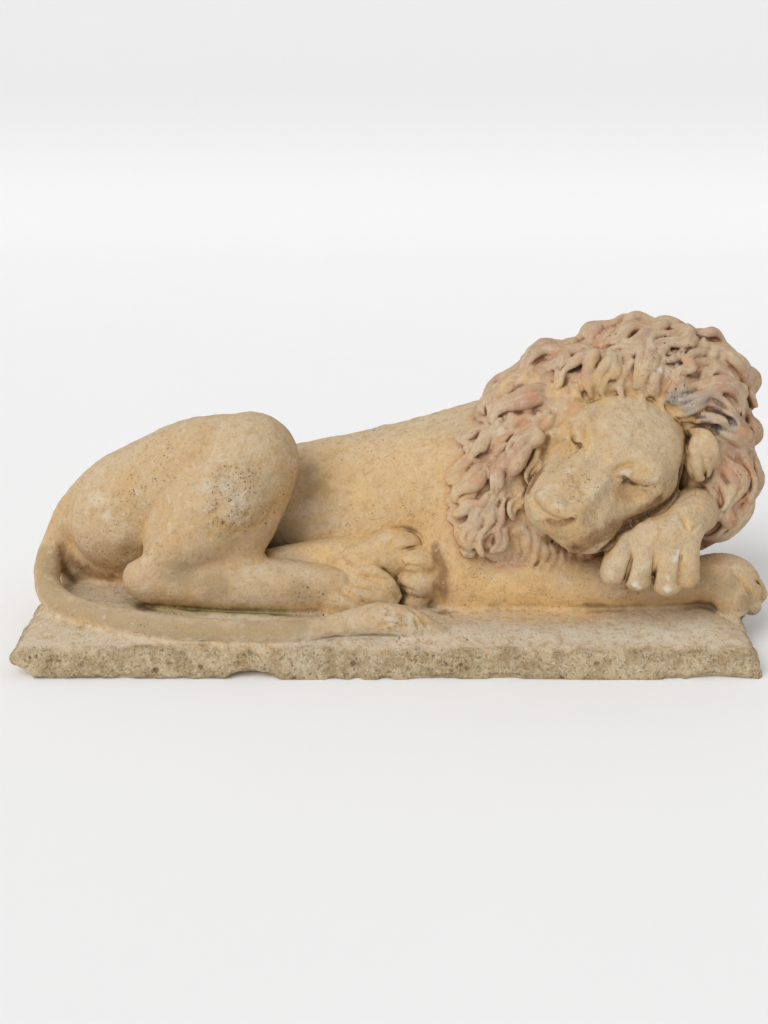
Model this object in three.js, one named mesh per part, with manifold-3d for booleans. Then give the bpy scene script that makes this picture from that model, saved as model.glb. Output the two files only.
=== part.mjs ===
// Sleeping lion on a slab plinth, cast in one piece: a recumbent lion with its
// hind legs folded toward the viewer, its tail laid along the front of the slab
// and its cheek resting on the far forepaw.
//
// Millimetres, +Z up. +X runs toward the head, the viewer's side is -Y, and the
// origin is the middle of the slab's flat underside.
//
// The figure is modelled the way a sculptor builds it up: rounded masses laid on
// an armature and run together, then the locks of the mane walked over the mane's
// mass, one after the other. The masses are summed as a distance field, the field
// is turned into a closed skin, and the skin is thinned where it is nearly flat.
import * as THREE from "three";
import Module from "manifold-3d";

// ---------------------------------------------------------------- sizes
const SLAB = { half: [403, 166], top: 40, batter: [0.2, 0.22], edge: 13, droop: 7, reach: 34 };
const BELOW = 14; // the slab is carried this far under its base line, then sawn flat
const STEP = 5; // sampling step of the skin
const FACETS = 9200; // facets kept after thinning
const FAR = 60; // distances are not needed beyond this
const LO = [-440, -190, -30];
const HI = [475, 190, 400];
const STONE = { color: 0xc6a87c, roughness: 0.92, metalness: 0 };

// Masses: [name, blend with what is already there, [...]].
// A tube is a list of [x, y, z, radius]; an ell is a centre, three radii, a blend
// and, where it is turned, its long axis and its upright.
const FORM = [
  ["trunk", 12, [
    ["tube", [[-302, 70, 110, 55], [-201, 75, 120, 60], [-100, 80, 126, 64], [19, 70, 138, 78], [136, 60, 159, 90]], 20], // back
    ["ell", [-11, 45, 84], [110, 60, 60], 30], // belly
    ["ell", [98, 12, 129], [60, 52, 88], 30, [1, 0, 0.2]], // shoulder
    ["tube", [[108, -5, 149, 45], [86, -18, 94, 44], [84, -28, 59, 34]], 20], // upper arm
    ["ell", [180, 20, 117], [90, 70, 80], 30], // chest
    ["tube", [[-250, 84, 74, 46], [-130, 92, 72, 50], [0, 90, 78, 56], [130, 82, 88, 62], [215, 70, 92, 60]], 30], // far flank
    ["tube", [[190, 84, 92, 50], [270, 86, 84, 40], [335, 62, 92, 34], [362, 18, 122, 30]], 24], // far foreleg
  ]],
  ["hindquarters", 8, [
    ["ell", [-306, 40, 110], [60, 62, 58], 20], // rump
    ["ell", [-318, 58, 54], [58, 44, 34], 14], // seat
    ["ell", [-252, 50, 149], [58, 55, 50], 30], // hip
    ["tube", [[-284, 28, 136, 62], [-213, 0, 183, 57], [-147, -15, 205, 47]], 25], // thigh
    ["tube", [[-147, -17, 202, 48], [-188, -35, 153, 55], [-259, -50, 79, 26]], 8], // shank
    ["tube", [[-129, -12, 192, 30], [-136, -22, 154, 28], [-163, -38, 103, 28]], 20], // shin
    ["ell", [-233, 70, 50], [100, 70, 50], 20], // far thigh
    ["ell", [-338, 88, 66], [42, 46, 54], 34], // tail root
    ["ell", [-363, 54, 58], [25, 40, 36], 10], // tail web
  ]],
  ["near hind foot", 11, [
    ["tube", [[-263, -54, 72, 26], [-206, -52, 67, 31], [-139, -54, 64, 32], [-76, -58, 62, 28], [-54, -60, 62, 21]], 10], // foot
    ["tube", [[-43, -46, 76, 9], [-15, -64, 84, 8.5], [4, -71, 75, 7.5], [15, -72, 58, 6]], 5], // toe 1
    ["tube", [[-46, -52, 67, 9], [-18, -73, 71, 8.5], [0, -80, 64, 7.5], [11, -81, 53, 6]], 5], // toe 2
    ["tube", [[-56, -58, 57, 9], [-29, -81, 65, 8.5], [-10, -87, 60, 7.5], [2, -88, 53, 6]], 5], // toe 3
    ["tube", [[-76, -62, 50, 9], [-50, -85, 57, 8.5], [-37, -91, 55, 7.5], [-26, -92, 48, 6]], 5], // toe 4
    ["ell", [-30, -74, 46], [38, 22, 14], 8], // ball of the foot
  ]],
  ["far hind foot", 4, [
    ["tube", [[-164, -20, 65, 22], [-107, -20, 74, 25], [-50, -18, 79, 29], [13, -14, 75, 31]], 10], // foot
    ["ell", [-11, -43, 88], [38, 17, 25], 6], // sole pad
    ["ell", [13, -30, 108], [29, 21, 13.5], 9, [1, 0, -0.1]], // toe pad 1
    ["ell", [37, -41, 91], [26, 26, 15], 2.5], // toe pad 2
    ["ell", [38, -46, 68], [25, 28, 19], 2.5, [1, 0, 0.1]], // toe pad 3
    ["ell", [29, -50, 45], [21, 24, 16], 2.5, [1, 0, 0.2]], // toe pad 4
  ]],
  ["tail", 9, [
    ["tube", [[-309, 45, 153, 34], [-351, 46, 123, 27], [-377, 40, 92, 19], [-389, 16, 67, 16], [-381, -28, 51, 15], [-350, -75, 48.5, 15], [-303, -109, 48.5, 13.8], [-240, -132, 47.5, 12.8], [-164, -141, 46.5, 11.6], [-89, -140, 46.5, 10.8], [-34, -131, 52.5, 11]], 10], // tail
    ["tube", [[-42, -131, 51, 11.5], [-4, -127, 54, 18], [30, -127, 49, 15.5], [60, -128, 41, 5]], 8], // tuft
  ]],
  ["near foreleg", 13, [
    ["tube", [[80, -30, 59, 36], [153, -40, 62, 31], [231, -45, 65, 30], [309, -45, 66, 28], [359, -45, 70, 25]], 10], // forearm
    ["ell", [386, -45, 65], [38, 32, 31], 12, [1, 0, -0.55]], // paw
    ["tube", [[381, -35, 70, 16], [416, -20, 51, 15], [426, -20, 41, 12.5]], 5], // toe 1
    ["tube", [[378, -49, 69, 16], [402, -48, 49, 15], [412, -48, 40, 12.5]], 5], // toe 2
    ["tube", [[375, -63, 68, 16], [382, -68, 52, 15], [391, -68, 43, 12.5]], 5], // toe 3
  ]],
  ["mane mass", 12, "MANE"],
  ["far forepaw", 6, [
    ["tube", [[375, 50, 131, 34], [361, 0, 141, 30], [341, -50, 149, 26], [326, -74, 146, 23]], 10], // wrist
    ["ell", [322, 36, 131], [32, 50, 38], 18], // behind the cheek
    ["ell", [294, -88, 130], [48, 28, 27], 12, [1, 0, 0.25]], // back of paw
    ["tube", [[261, -88, 130, 15], [252, -106, 117, 15], [246, -106, 99, 13.8]], 3], // toe 1
    ["tube", [[282, -88, 132, 16.5], [276, -106, 116, 16.5], [273, -106, 94, 15.2]], 3], // toe 2
    ["tube", [[306, -88, 134, 16.5], [304, -106, 115, 16.5], [305, -106, 88, 15.2]], 3], // toe 3
    ["tube", [[328, -88, 134, 13.5], [325, -106, 117, 13.5], [327, -106, 94, 12.4]], 3], // toe 4
  ]],
];
const MANE = [
  ["ell", [291, 58, 250], [102, 74, 84], 30, [1, 0, 0.06]], // crown
  ["ell", [193, 50, 240], [62, 62, 60], 30, [1, 0, 0.35]], // crest
  ["ell", [148, 22, 186], [42, 58, 78], 30, [1, 0, 0], [0.25, 0, 1]], // near side
  ["ell", [122, -12, 130], [33, 36, 40], 30], // near side low
  ["ell", [364, 40, 217], [38, 66, 90], 30, [1, 0, 0], [-0.1, 0, 1]], // far side
  ["ell", [372, 10, 156], [32, 48, 47], 30], // far side low
  ["ell", [211, 55, 167], [96, 80, 96], 30], // neck
  ["tube", [[188, -18, 232, 12], [198, -9, 252, 14], [218, -1, 272, 15], [247, 2, 286, 15], [277, -2, 291, 15], [305, -5, 284, 15], [330, -8, 266, 13]], 14], // fringe
];
// Head: a frame of its own, forward along the muzzle, left on the lion's left and
// up out of the forehead. The last number is 1 where a mass sits on both sides.
const HEAD = { at: [242, -72, 222], forward: [-0.5776, -0.7445, -0.3348], left: [0.7913, -0.4097, -0.4539], up: [0.2007, -0.5271, 0.8257], scale: 1.1 };
const FACE = [
  ["ell", [-48, 0, -31], [70, 66, 52], 20, [1, 0, 0], 0], // cranium
  ["ell", [-44, 0, -9], [54, 56, 25], 30, [1, 0, -0.25], 0], // forehead
  ["tube", [[-34, 12, -6, 20], [6, 13, -13, 20], [42, 12, -20, 20], [68, 11, -26, 18]], 12, 0, 0, 1], // bridge
  ["ell", [42, 0, -46], [46, 46, 34], 20, [1, 0, 0], 0], // muzzle
  ["ell", [-20, 0, -70], [55, 45, 30], 20, [1, 0, 0], 0], // throat
  ["ell", [54, 22, -47], [32, 26, 27], 12, [1, 0, 0], 1], // lip pad
  ["ell", [14, 30, -54], [48, 24, 33], 18, [1, 0, 0], 1], // muzzle side
  ["ell", [-24, 47, -60], [46, 31, 43], 20, [1, 0, 0], 1], // cheek
  ["cut", [8, 36, -10], [12, 14, 4], 10, [1, 0, 0], 1], // socket
  ["ell", [-26, 34, -3], [19, 29, 13], 16, [-0.35, 1, -0.05], 1], // brow
  ["ell", [-8, 40, -17], [15, 21, 14], 6, [1, 0.2, 0], 1], // lid
  ["ell", [75, 0, -25], [14, 28, 12], 10, [1, 0, 0], 0], // nose
  ["ell", [78, 0, -35], [12, 16, 14], 10, [1, 0, 0], 0], // nose front
  ["tube", [[0, 0, -70, 34], [32, 0, -72, 24], [50, 0, -68, 17]], 10, 0, 0, 0], // jaw
];
const EAR = [
  ["ell", [345, -46, 212], [16, 15, 29], 6, [1, 0, 0], [0.1, 0, 1]], // ear
];
// Locks of the mane on the viewer's side, laid out on a sheet that leans back like
// the viewer's gaze: across, up, heading at the root, at the tip and the swing
// between (degrees), length, width, rise and lift.
const SHEET_UP = [0, 0.3095, 0.9509];
const CURL = 35; // degrees a lock turns on at its tip
const LOCKS = [
  [177, 295, -176, -139, 22, 90, 32.7, 12, 2], [214, 312, -164, -163, -3, 57, 30, 14, 3], [226, 317, -156, -167, -1, 37, 18.3, 10, 2], [319, 333, 172, 190, -1, 58, 31.6, 12, 3],
  [257, 331, -151, -153, -7, 38, 23.6, 12, 2], [306, 335, -7, -119, -41, 64, 22.2, 12, 3], [337, 328, -19, -49, 9, 53, 31.9, 14, 4], [343, 327, -24, -94, 34, 59, 21.2, 12, 3],
  [228, 296, 135, 217, 18, 84, 35.4, 14, 5], [213, 299, -125, -103, -2, 35, 17.9, 12, 5], [225, 316, 31, -74, 39, 62, 25, 13, 4], [302, 319, 165, 218, 3, 54, 22, 14, 5],
  [306, 310, 177, 229, 5, 59, 21.8, 14, 6], [310, 302, -171, -127, -2, 41, 16.9, 13, 7], [315, 294, -169, -101, 4, 62, 26.6, 12, 6], [351, 317, -153, -126, 2, 78, 32.3, 16.9, 4],
  [358, 306, -119, -149, 0, 67, 27, 15.6, 6], [253, 292, 139, 251, 29, 67, 15.9, 14, 8], [261, 284, -163, -114, 1, 34, 15.2, 10, 5], [214, 278, -124, -161, 4, 33, 16.2, 11, 4],
  [232, 277, -138, -117, -2, 31, 15.1, 9, 4], [278, 298, -147, -95, -4, 42, 16.2, 11, 5], [185, 279, 179, 208, 1, 50, 20.5, 10, 3], [193, 265, 176, 212, 1, 38, 17.8, 9, 3],
  [360, 300, 23, -64, -31, 61, 23.3, 15.6, 3], [391, 291, -73, -81, 8, 49, 27.7, 19.5, 3], [395, 280, -80, -80, 1, 39, 17.5, 15.6, 5], [309, 247, 45, -48, -3, 105, 22.6, 13, 5],
  [318, 239, 36, -58, -3, 82, 19, 13, 6], [322, 236, 20, -52, -6, 57, 16.4, 12, 7], [401, 240, -129, -86, 0, 53, 22.5, 18.2, 4], [365, 220, -23, -130, 14, 103, 23.2, 15.6, 4],
  [401, 207, -87, -93, 6, 69, 23.2, 16.9, 3], [370, 185, -50, -115, -6, 60, 20.7, 15.6, 4], [396, 153, -66, -124, -19, 73, 25.3, 15.6, 3], [371, 147, -67, -107, 1, 46, 17.1, 13, 3],
  [155, 264, 146, 231, 33, 55, 24.9, 13, 3], [142, 249, -124, -143, -1, 32, 24.4, 12, 3], [191, 241, 142, 245, 2, 83, 24.1, 14, 5], [186, 233, -135, -221, 4, 31, 17.6, 12, 4],
  [134, 224, -124, -170, -5, 54, 18.7, 12, 4], [181, 219, -176, -113, -1, 57, 20.1, 13, 5], [138, 204, -171, -153, 1, 54, 16.7, 12, 3], [179, 208, -165, -118, 12, 85, 21.1, 13, 5],
  [174, 199, -133, -89, 3, 50, 16.6, 12, 4], [147, 183, -149, -116, 4, 53, 19.1, 13, 4], [124, 169, -176, -124, 9, 58, 21.5, 13, 3], [116, 144, -138, -169, 1, 41, 18.5, 12, 4],
  [114, 134, -131, -145, -1, 40, 18.5, 12, 4], [130, 147, -129, -99, 4, 74, 22, 12, 4], [106, 114, -140, -95, 3, 39, 16.5, 12, 3], [136, 119, -113, -123, 1, 43, 16.6, 12, 4],
  [156, 149, -142, -98, -3, 37, 16.1, 12, 4],
];
// Shorter locks under and between them, in rows on the same sheet; they part above
// the brow and flow away from the face on either side.
const FLOW = { heart: [262, 215], part: 65, left: [195, 0.35], right: [-15, 0.85], rows: [112, 352, 22], across: [92, 442, 25], length: 58, width: 26, rise: 6, sway: 24, edge: [158, 230, 0.6] };
// Plainer locks behind: rows by height angle and count round the mane's heart.
const BACK = { heart: [285, 55, 203], rows: [[66, 5], [46, 8], [27, 10], [9, 10], [-9, 9], [-26, 7]], length: 78, width: 40, rise: 10, sway: 0.5, from: 150 };
const COAT = ["trunk", "mane mass"]; // the masses the locks lie on
// Strokes of the chisel: folds laid on and furrows cut in, [x, y, z, radius] and blend.
const STROKES = [
  ["tube", [[254, -91, 207, 5], [266, -86, 204, 8], [278, -88, 200, 8], [288, -87, 198, 5]], 5], // left lid
  ["tube", [[242, -82, 218, 6], [247, -74, 224, 9], [257, -74, 226, 9.5], [267, -77, 222, 9], [282, -81, 215, 8], [294, -82, 208, 5]], 8], // left brow
  ["tube", [[240, -89, 212, 5], [228, -105, 199, 7], [216, -119, 186, 7], [204, -130, 176, 6]], 6], // bridge edge
  ["groove", [[246, -109, 197, 7], [237, -122, 187, 10], [225, -132, 175, 10], [217, -138, 166, 7]], 9], // bridge valley
  ["tube", [[165, -106, 185, 6], [176, -122, 180, 9], [189, -129, 174, 9], [197, -132, 174, 6]], 5], // nose
  ["tube", [[291, -82, 186, 6], [275, -77, 176, 10], [254, -92, 170, 7]], 8], // cheek bone
  ["groove", [[250, -104, 190, 5], [264, -91, 182, 7], [275, -89, 179, 5]], 7], // under eye
  ["tube", [[218, -42, 256, 5], [209, -28, 256, 8], [205, -35, 250, 5]], 8], // right brow
  ["tube", [[210, -50, 247, 5], [210, -53, 240, 7.5], [211, -57, 234, 5]], 5], // right lid
  ["groove", [[158, -107, 176, 3], [169, -126, 170, 4], [181, -134, 167, 4.5], [192, -138, 167, 3.5]], 4], // nose edge
  ["groove", [[230, -65, 246, 4], [231, -52, 259, 5], [242, -34, 269, 3]], 8], // forehead furrow
  ["groove", [[231, -105, 128, 4], [240, -105, 132, 5], [250, -97, 144, 6], [275, -85, 152, 6], [301, -70, 160, 5.5], [315, -55, 169, 4.5], [319, -47, 183, 4.2], [320, -52, 203, 4.2], [332, -50, 220, 2.6]], 2.5], // cheek crevice
  ["tube", [[337, -26, 233, 5], [345, -48, 239, 6], [353, -50, 232, 6], [358, -50, 217, 6.2], [365, -37, 196, 6.2], [363, -40, 183, 4.6]], 3], // ear rim
  ["tube", [[335, -54, 222, 5], [338, -57, 214, 6], [341, -57, 202, 6.4], [343, -53, 190, 4.6]], 3], // ear lobe
  ["tube", [[321, -85, 164, 3], [331, -81, 165, 4], [342, -79, 162, 4], [349, -78, 156, 3]], 2], // wrist fold
  ["tube", [[152, -58, 134, 2.5], [159, -56, 125, 4.5], [159, -55, 109, 4.5], [154, -54, 93, 1.8]], 1.5], // beard 1
  ["tube", [[165, -56, 128, 2.5], [170, -57, 116, 4.8], [168, -55, 102, 4.5], [162, -60, 86, 1.8]], 1.5], // beard 2
  ["tube", [[175, -57, 118, 2.5], [179, -57, 108, 4.5], [177, -53, 95, 4.2], [171, -60, 86, 1.8]], 1.5], // beard 3
  ["tube", [[186, -59, 113, 2.5], [189, -54, 101, 4.5], [187, -54, 91, 4], [181, -63, 84, 1.8]], 1.5], // beard 4
  ["tube", [[197, -54, 107, 2.5], [199, -52, 99, 4], [196, -56, 90, 3.5], [191, -63, 86, 1.5]], 1.5], // beard 5
  ["tube", [[147, -56, 116, 2.5], [149, -55, 105, 4], [146, -54, 92, 1.8]], 1.5], // beard 7
  ["groove", [[-202, -64, 214, 9], [-225, -71, 191, 12], [-244, -72, 166, 13], [-259, -71, 141, 13], [-273, -64, 121, 12], [-284, -28, 88, 9]], 12], // thigh crease
  ["tube", [[-264, -57, 42, 2.5], [-235, -72, 39, 4.5], [-204, -81, 38, 5.5], [-173, -86, 38, 6], [-142, -88, 38, 5.5], [-110, -88, 39, 2.5]], 3], // foot edge
  ["tube", [[288, -23, 314, 5], [280, -27, 296, 6], [281, -22, 274, 5], [284, -40, 262, 2]], 2], // fringe 1
  ["tube", [[301, -15, 306, 5], [293, -29, 290, 6], [299, -23, 271, 5], [306, -31, 258, 2]], 2], // fringe 2
  ["tube", [[271, -12, 308, 5], [261, -18, 298, 5.5], [257, -21, 285, 4.5], [260, -28, 271, 2]], 2], // fringe 3
  ["tube", [[231, 4, 313, 7], [223, -13, 298, 8], [222, -25, 285, 6], [227, -22, 271, 3]], 2], // fringe 4
  ["tube", [[245, -16, 311, 6], [236, -19, 298, 6], [233, -22, 285, 4.5], [241, -23, 272, 2]], 2], // fringe 5
  ["tube", [[318, -28, 292, 5], [311, -29, 277, 5], [314, -27, 263, 2]], 2], // fringe 6
  ["tube", [[204, -14, 284, 4], [209, -26, 277, 5], [219, -26, 267, 2]], 2], // fringe 7
];
// Breaks along the slab's lower edge: place, radii, blend.
const CHIPS = [
  [[-412, -168, 46], [34, 36, 24], 12],
  [[410, -168, 46], [22, 24, 18], 8],
  [[-140, -171, -2], [30, 30, 11], 4],
  [[352, -167, -2], [34, 12, 9], 5],
  [[392, -120, 2], [20, 30, 9], 6],
  [[-400, -152, -6], [30, 34, 20], 8],
  [[-312, -171, -3], [90, 11, 8], 4],
  [[120, -171, -4], [150, 9, 7], 4],
];

// ---------------------------------------------------------------- small vector kit
const add = (a, b, s = 1) => [a[0] + b[0] * s, a[1] + b[1] * s, a[2] + b[2] * s];
const dot = (a, b) => a[0] * b[0] + a[1] * b[1] + a[2] * b[2];
const cross = (a, b) => [a[1] * b[2] - a[2] * b[1], a[2] * b[0] - a[0] * b[2], a[0] * b[1] - a[1] * b[0]];
const unit = (a) => { const l = Math.hypot(...a); return [a[0] / l, a[1] / l, a[2] / l]; };
const turn = (v, n, a) => add(add(v.map((x) => x * Math.cos(a)), cross(n, v), Math.sin(a)), n, dot(n, v) * (1 - Math.cos(a)));
const rad = (d) => (d * Math.PI) / 180;
const chance = (i) => { const v = Math.sin(i * 12.9898 + 4.1414) * 43758.5453; return v - Math.floor(v); };
function axes(ax = [1, 0, 0], up = [0, 0, 1]) {
  const a = unit(ax);
  const u = unit(add(up, a, -dot(up, a)));
  return [a, cross(u, a), u];
}
const soft = (a, b, k) => {
  const h = k > 0 ? Math.max(k - Math.abs(a - b), 0) / k : 0;
  return Math.min(a, b) - h * h * k * 0.25;
};
// A curve through [x, y, z, r] points, n spans between each two.
function curve(p, n) {
  if (p.length === 2) p = [p[0], p[0].map((v, i) => (v + p[1][i]) / 2), p[1]];
  const e = [p[0].map((v, i) => 2 * v - p[1][i]), ...p, p[p.length - 1].map((v, i) => 2 * v - p[p.length - 2][i])];
  const out = [];
  for (let s = 0; s < p.length - 1; s++)
    for (let j = 0; j < n; j++) {
      const t = j / n;
      out.push(p[0].map((_, i) => {
        const [a, b, c, d] = [e[s][i], e[s + 1][i], e[s + 2][i], e[s + 3][i]];
        return 0.5 * (2 * b + (c - a) * t + (2 * a - 5 * b + 4 * c - d) * t * t + (3 * b - a - 3 * c + d) * t ** 3);
      }));
    }
  out.push(p[p.length - 1]);
  return out;
}

// ---------------------------------------------------------------- the field
const N = [0, 1, 2].map((i) => Math.ceil((HI[i] - LO[i]) / STEP) + 1);
const AT = (i, j, k) => (i * N[1] + j) * N[2] + k;
const blank = () => new Float32Array(N[0] * N[1] * N[2]).fill(FAR);
let field = blank();
const scratch = blank();
// Visit the grid points of a box of space.
function visit(lo, hi, f) {
  const a = [0, 1, 2].map((i) => Math.max(0, Math.floor((lo[i] - LO[i]) / STEP)));
  const b = [0, 1, 2].map((i) => Math.min(N[i] - 1, Math.ceil((hi[i] - LO[i]) / STEP)));
  for (let i = a[0]; i <= b[0]; i++)
    for (let j = a[1]; j <= b[1]; j++)
      for (let k = a[2]; k <= b[2]; k++) f(AT(i, j, k), LO[0] + i * STEP, LO[1] + j * STEP, LO[2] + k * STEP);
}
function ellDistance(c, r, R) {
  return (x, y, z) => {
    const q = [x - c[0], y - c[1], z - c[2]];
    let k0 = 0, k1 = 0;
    for (let i = 0; i < 3; i++) {
      const d = dot(R[i], q);
      k0 += (d / r[i]) ** 2;
      k1 += (d / r[i] ** 2) ** 2;
    }
    k0 = Math.sqrt(k0);
    return (k0 * (k0 - 1)) / (Math.sqrt(k1) + 1e-6);
  };
}
function ell(c, r, k, ax, up, cut = false) {
  const R = axes(ax, up);
  const d = ellDistance(c, r, R);
  const m = cut ? k + 2 * STEP : FAR / 2;
  const e = [0, 1, 2].map((i) => Math.hypot(R[0][i] * r[0], R[1][i] * r[1], R[2][i] * r[2]) + m);
  visit(add(c, e, -1), add(c, e), (at, x, y, z) => {
    field[at] = cut ? -soft(-field[at], d(x, y, z), k) : soft(field[at], d(x, y, z), k);
  });
}
function tube(points, k, spans = 6, m = FAR / 2, cut = false) {
  const c = curve(points, spans);
  const lo = [1e9, 1e9, 1e9], hi = [-1e9, -1e9, -1e9];
  for (let s = 0; s + 1 < c.length; s++) {
    const [a, b] = [c[s], c[s + 1]];
    const w = Math.max(a[3], b[3]) + m;
    const l = [0, 1, 2].map((i) => Math.min(a[i], b[i]) - w), h = [0, 1, 2].map((i) => Math.max(a[i], b[i]) + w);
    for (let i = 0; i < 3; i++) { lo[i] = Math.min(lo[i], l[i]); hi[i] = Math.max(hi[i], h[i]); }
    const ab = [b[0] - a[0], b[1] - a[1], b[2] - a[2]], l2 = dot(ab, ab) + 1e-9;
    visit(l, h, (at, x, y, z) => {
      const q = [x - a[0], y - a[1], z - a[2]];
      const t = Math.min(1, Math.max(0, dot(q, ab) / l2));
      const d = Math.hypot(q[0] - ab[0] * t, q[1] - ab[1] * t, q[2] - ab[2] * t) - (a[3] + (b[3] - a[3]) * t);
      if (d < scratch[at]) scratch[at] = d;
    });
  }
  visit(lo, hi, (at) => {
    field[at] = cut ? -soft(-field[at], scratch[at], k) : soft(field[at], scratch[at], k);
    scratch[at] = FAR;
  });
}
function group(k, build) {
  const held = field;
  field = blank();
  build();
  const made = field;
  for (let i = 0; i < held.length; i++) held[i] = soft(held[i], made[i], k);
  field = held;
  return made;
}
function slab() {
  const { half, top, batter, edge, droop, reach } = SLAB;
  const zc = (top - BELOW) / 2, zh = (top + BELOW) / 2;
  visit(LO, HI, (at, x, y, z) => {
    const qx = Math.abs(x) - half[0] + edge + z * batter[0], qy = Math.abs(y) - half[1] + edge + z * batter[1];
    const rim = Math.min(1, Math.max(0, Math.max(qx, qy) / reach + 1)); // the top is worn down toward its rim
    const qz = Math.max(z - zc + droop * rim * rim, zc - z) - zh + edge;
    const out = Math.hypot(Math.max(qx, 0), Math.max(qy, 0), Math.max(qz, 0));
    field[at] = Math.min(field[at], out + Math.min(Math.max(qx, qy, qz), 0) - edge);
  });
}
function mass([kind, ...a]) {
  if (kind === "tube") tube(a[0], a[1]);
  else ell(a[0], a[1], a[2], a[3], a[4]);
}

// ---------------------------------------------------------------- the head
const inHead = (v, s = 1) => [0, 1, 2].map((i) => (HEAD.forward[i] * v[0] + HEAD.left[i] * v[1] + HEAD.up[i] * v[2]) * s);
const H = (v) => add(HEAD.at, inHead(v, HEAD.scale));
function face() {
  for (const [kind, place, size, blend, axis, both] of FACE)
    for (const side of both ? [-1, 1] : [1]) {
      const flip = (v) => [v[0], v[1] * side, v[2]];
      if (kind === "tube") tube(place.map((p) => [...H(flip(p)), p[3]]), size);
      else ell(H(flip(place)), size, blend, inHead(flip(axis)), HEAD.up, kind === "cut");
    }
}

// ---------------------------------------------------------------- the mane's locks
const coat = blank(); // the surface the locks are walked over
function coatAt(p) {
  const q = p.map((v, i) => (v - LO[i]) / STEP);
  const c = q.map((v, i) => Math.min(Math.max(Math.floor(v), 0), N[i] - 2));
  const f = q.map((v, i) => Math.min(1, Math.max(0, v - c[i])));
  let sum = 0;
  for (let e = 0; e < 8; e++) {
    const b = [e & 1, (e >> 1) & 1, (e >> 2) & 1];
    sum += coat[AT(c[0] + b[0], c[1] + b[1], c[2] + b[2])] * b.reduce((w, on, i) => w * (on ? f[i] : 1 - f[i]), 1);
  }
  return sum;
}
const coatOut = (p) => unit([0, 1, 2].map((i) => {
  const e = [0, 0, 0];
  e[i] = 3;
  return coatAt(add(p, e)) - coatAt(add(p, e, -1));
}));
const SHEET_X = [1, 0, 0];
const SHEET_IN = cross(SHEET_UP, SHEET_X); // into the sheet, away from the viewer
function dropOnCoat(s, t) {
  let p = add([s, 0, 0], SHEET_UP, t);
  p = add(p, SHEET_IN, -dot(p, SHEET_IN) - 260);
  let best = [1e9, p];
  for (let i = 0; i < 400; i++) {
    const d = coatAt(p);
    if (d < best[0]) best = [d, p];
    if (d < 0.4) break;
    p = add(p, SHEET_IN, Math.max(d * 0.6, 0.4));
    if (dot(p, SHEET_IN) > 200) break;
  }
  p = best[1];
  for (let i = 0; i < 4; i++) p = add(p, coatOut(p), -coatAt(p));
  return p;
}
// A lock: walk n steps over the coat from p; heading(t, out) gives the way to go. It
// swells from its root, waves from side to side and lies down again at its tip.
function lock(p, length, heading, width, rise, lift, wave, seed, n = 11) {
  const path = [], own = chance(seed * 3.1);
  for (let i = 0; i < n; i++) {
    const t = i / (n - 1), out = coatOut(p);
    p = add(p, out, -coatAt(p));
    const go = heading(t, out), side = cross(out, go);
    const w = width * (0.7 + 0.3 * Math.sin(Math.PI * Math.min(1.05 * t + 0.12, 1))) * (1 - 0.34 * t ** 5);
    const r = (w / 2) * (0.62 + 0.38 * Math.min(1, t * 4)) * (1 + 0.14 * wave * Math.sin(9 * t + seed)) * (1 - 0.25 * t ** 8);
    const swell = 0.15 + 0.85 * Math.sin(Math.PI * Math.min(0.12 + 0.68 * t, 1));
    const ripple = 0.16 * wave * Math.sin(9 * t + seed + 1) + 0.16 * Math.sin(6 * t + 5 * own);
    const aside = w * (0.075 * Math.sin(5.5 * t + 3 * own) + 0.26 * wave * Math.sin(8 * t + seed) * Math.min(1, 3 * t));
    path.push([...add(add(p, side, aside), out, lift + rise * (swell + ripple) - 0.85 * r), r]);
    p = add(p, go, length / (n - 1));
  }
  tube(path, 4, 2, 20);
}
const onSheet = (h0, h1, swing, curl = 0) => (t, out) => {
  const a = rad(h0 + (h1 - h0) * t + swing * Math.sin(Math.PI * t) + curl * Math.max(0, (t - 0.6) / 0.4) ** 1.5);
  const d = add(SHEET_X.map((v) => v * Math.cos(a)), SHEET_UP, Math.sin(a));
  return unit(add(d, out, -dot(d, out)));
};
function flow(s, t) {
  let a = (Math.atan2(t - FLOW.heart[1], s - FLOW.heart[0]) * 180) / Math.PI;
  if (a < -90) a += 360;
  return a > FLOW.part ? FLOW.left[0] + (a - 90) * FLOW.left[1] : FLOW.right[0] - (FLOW.part - a) * FLOW.right[1];
}
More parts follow.
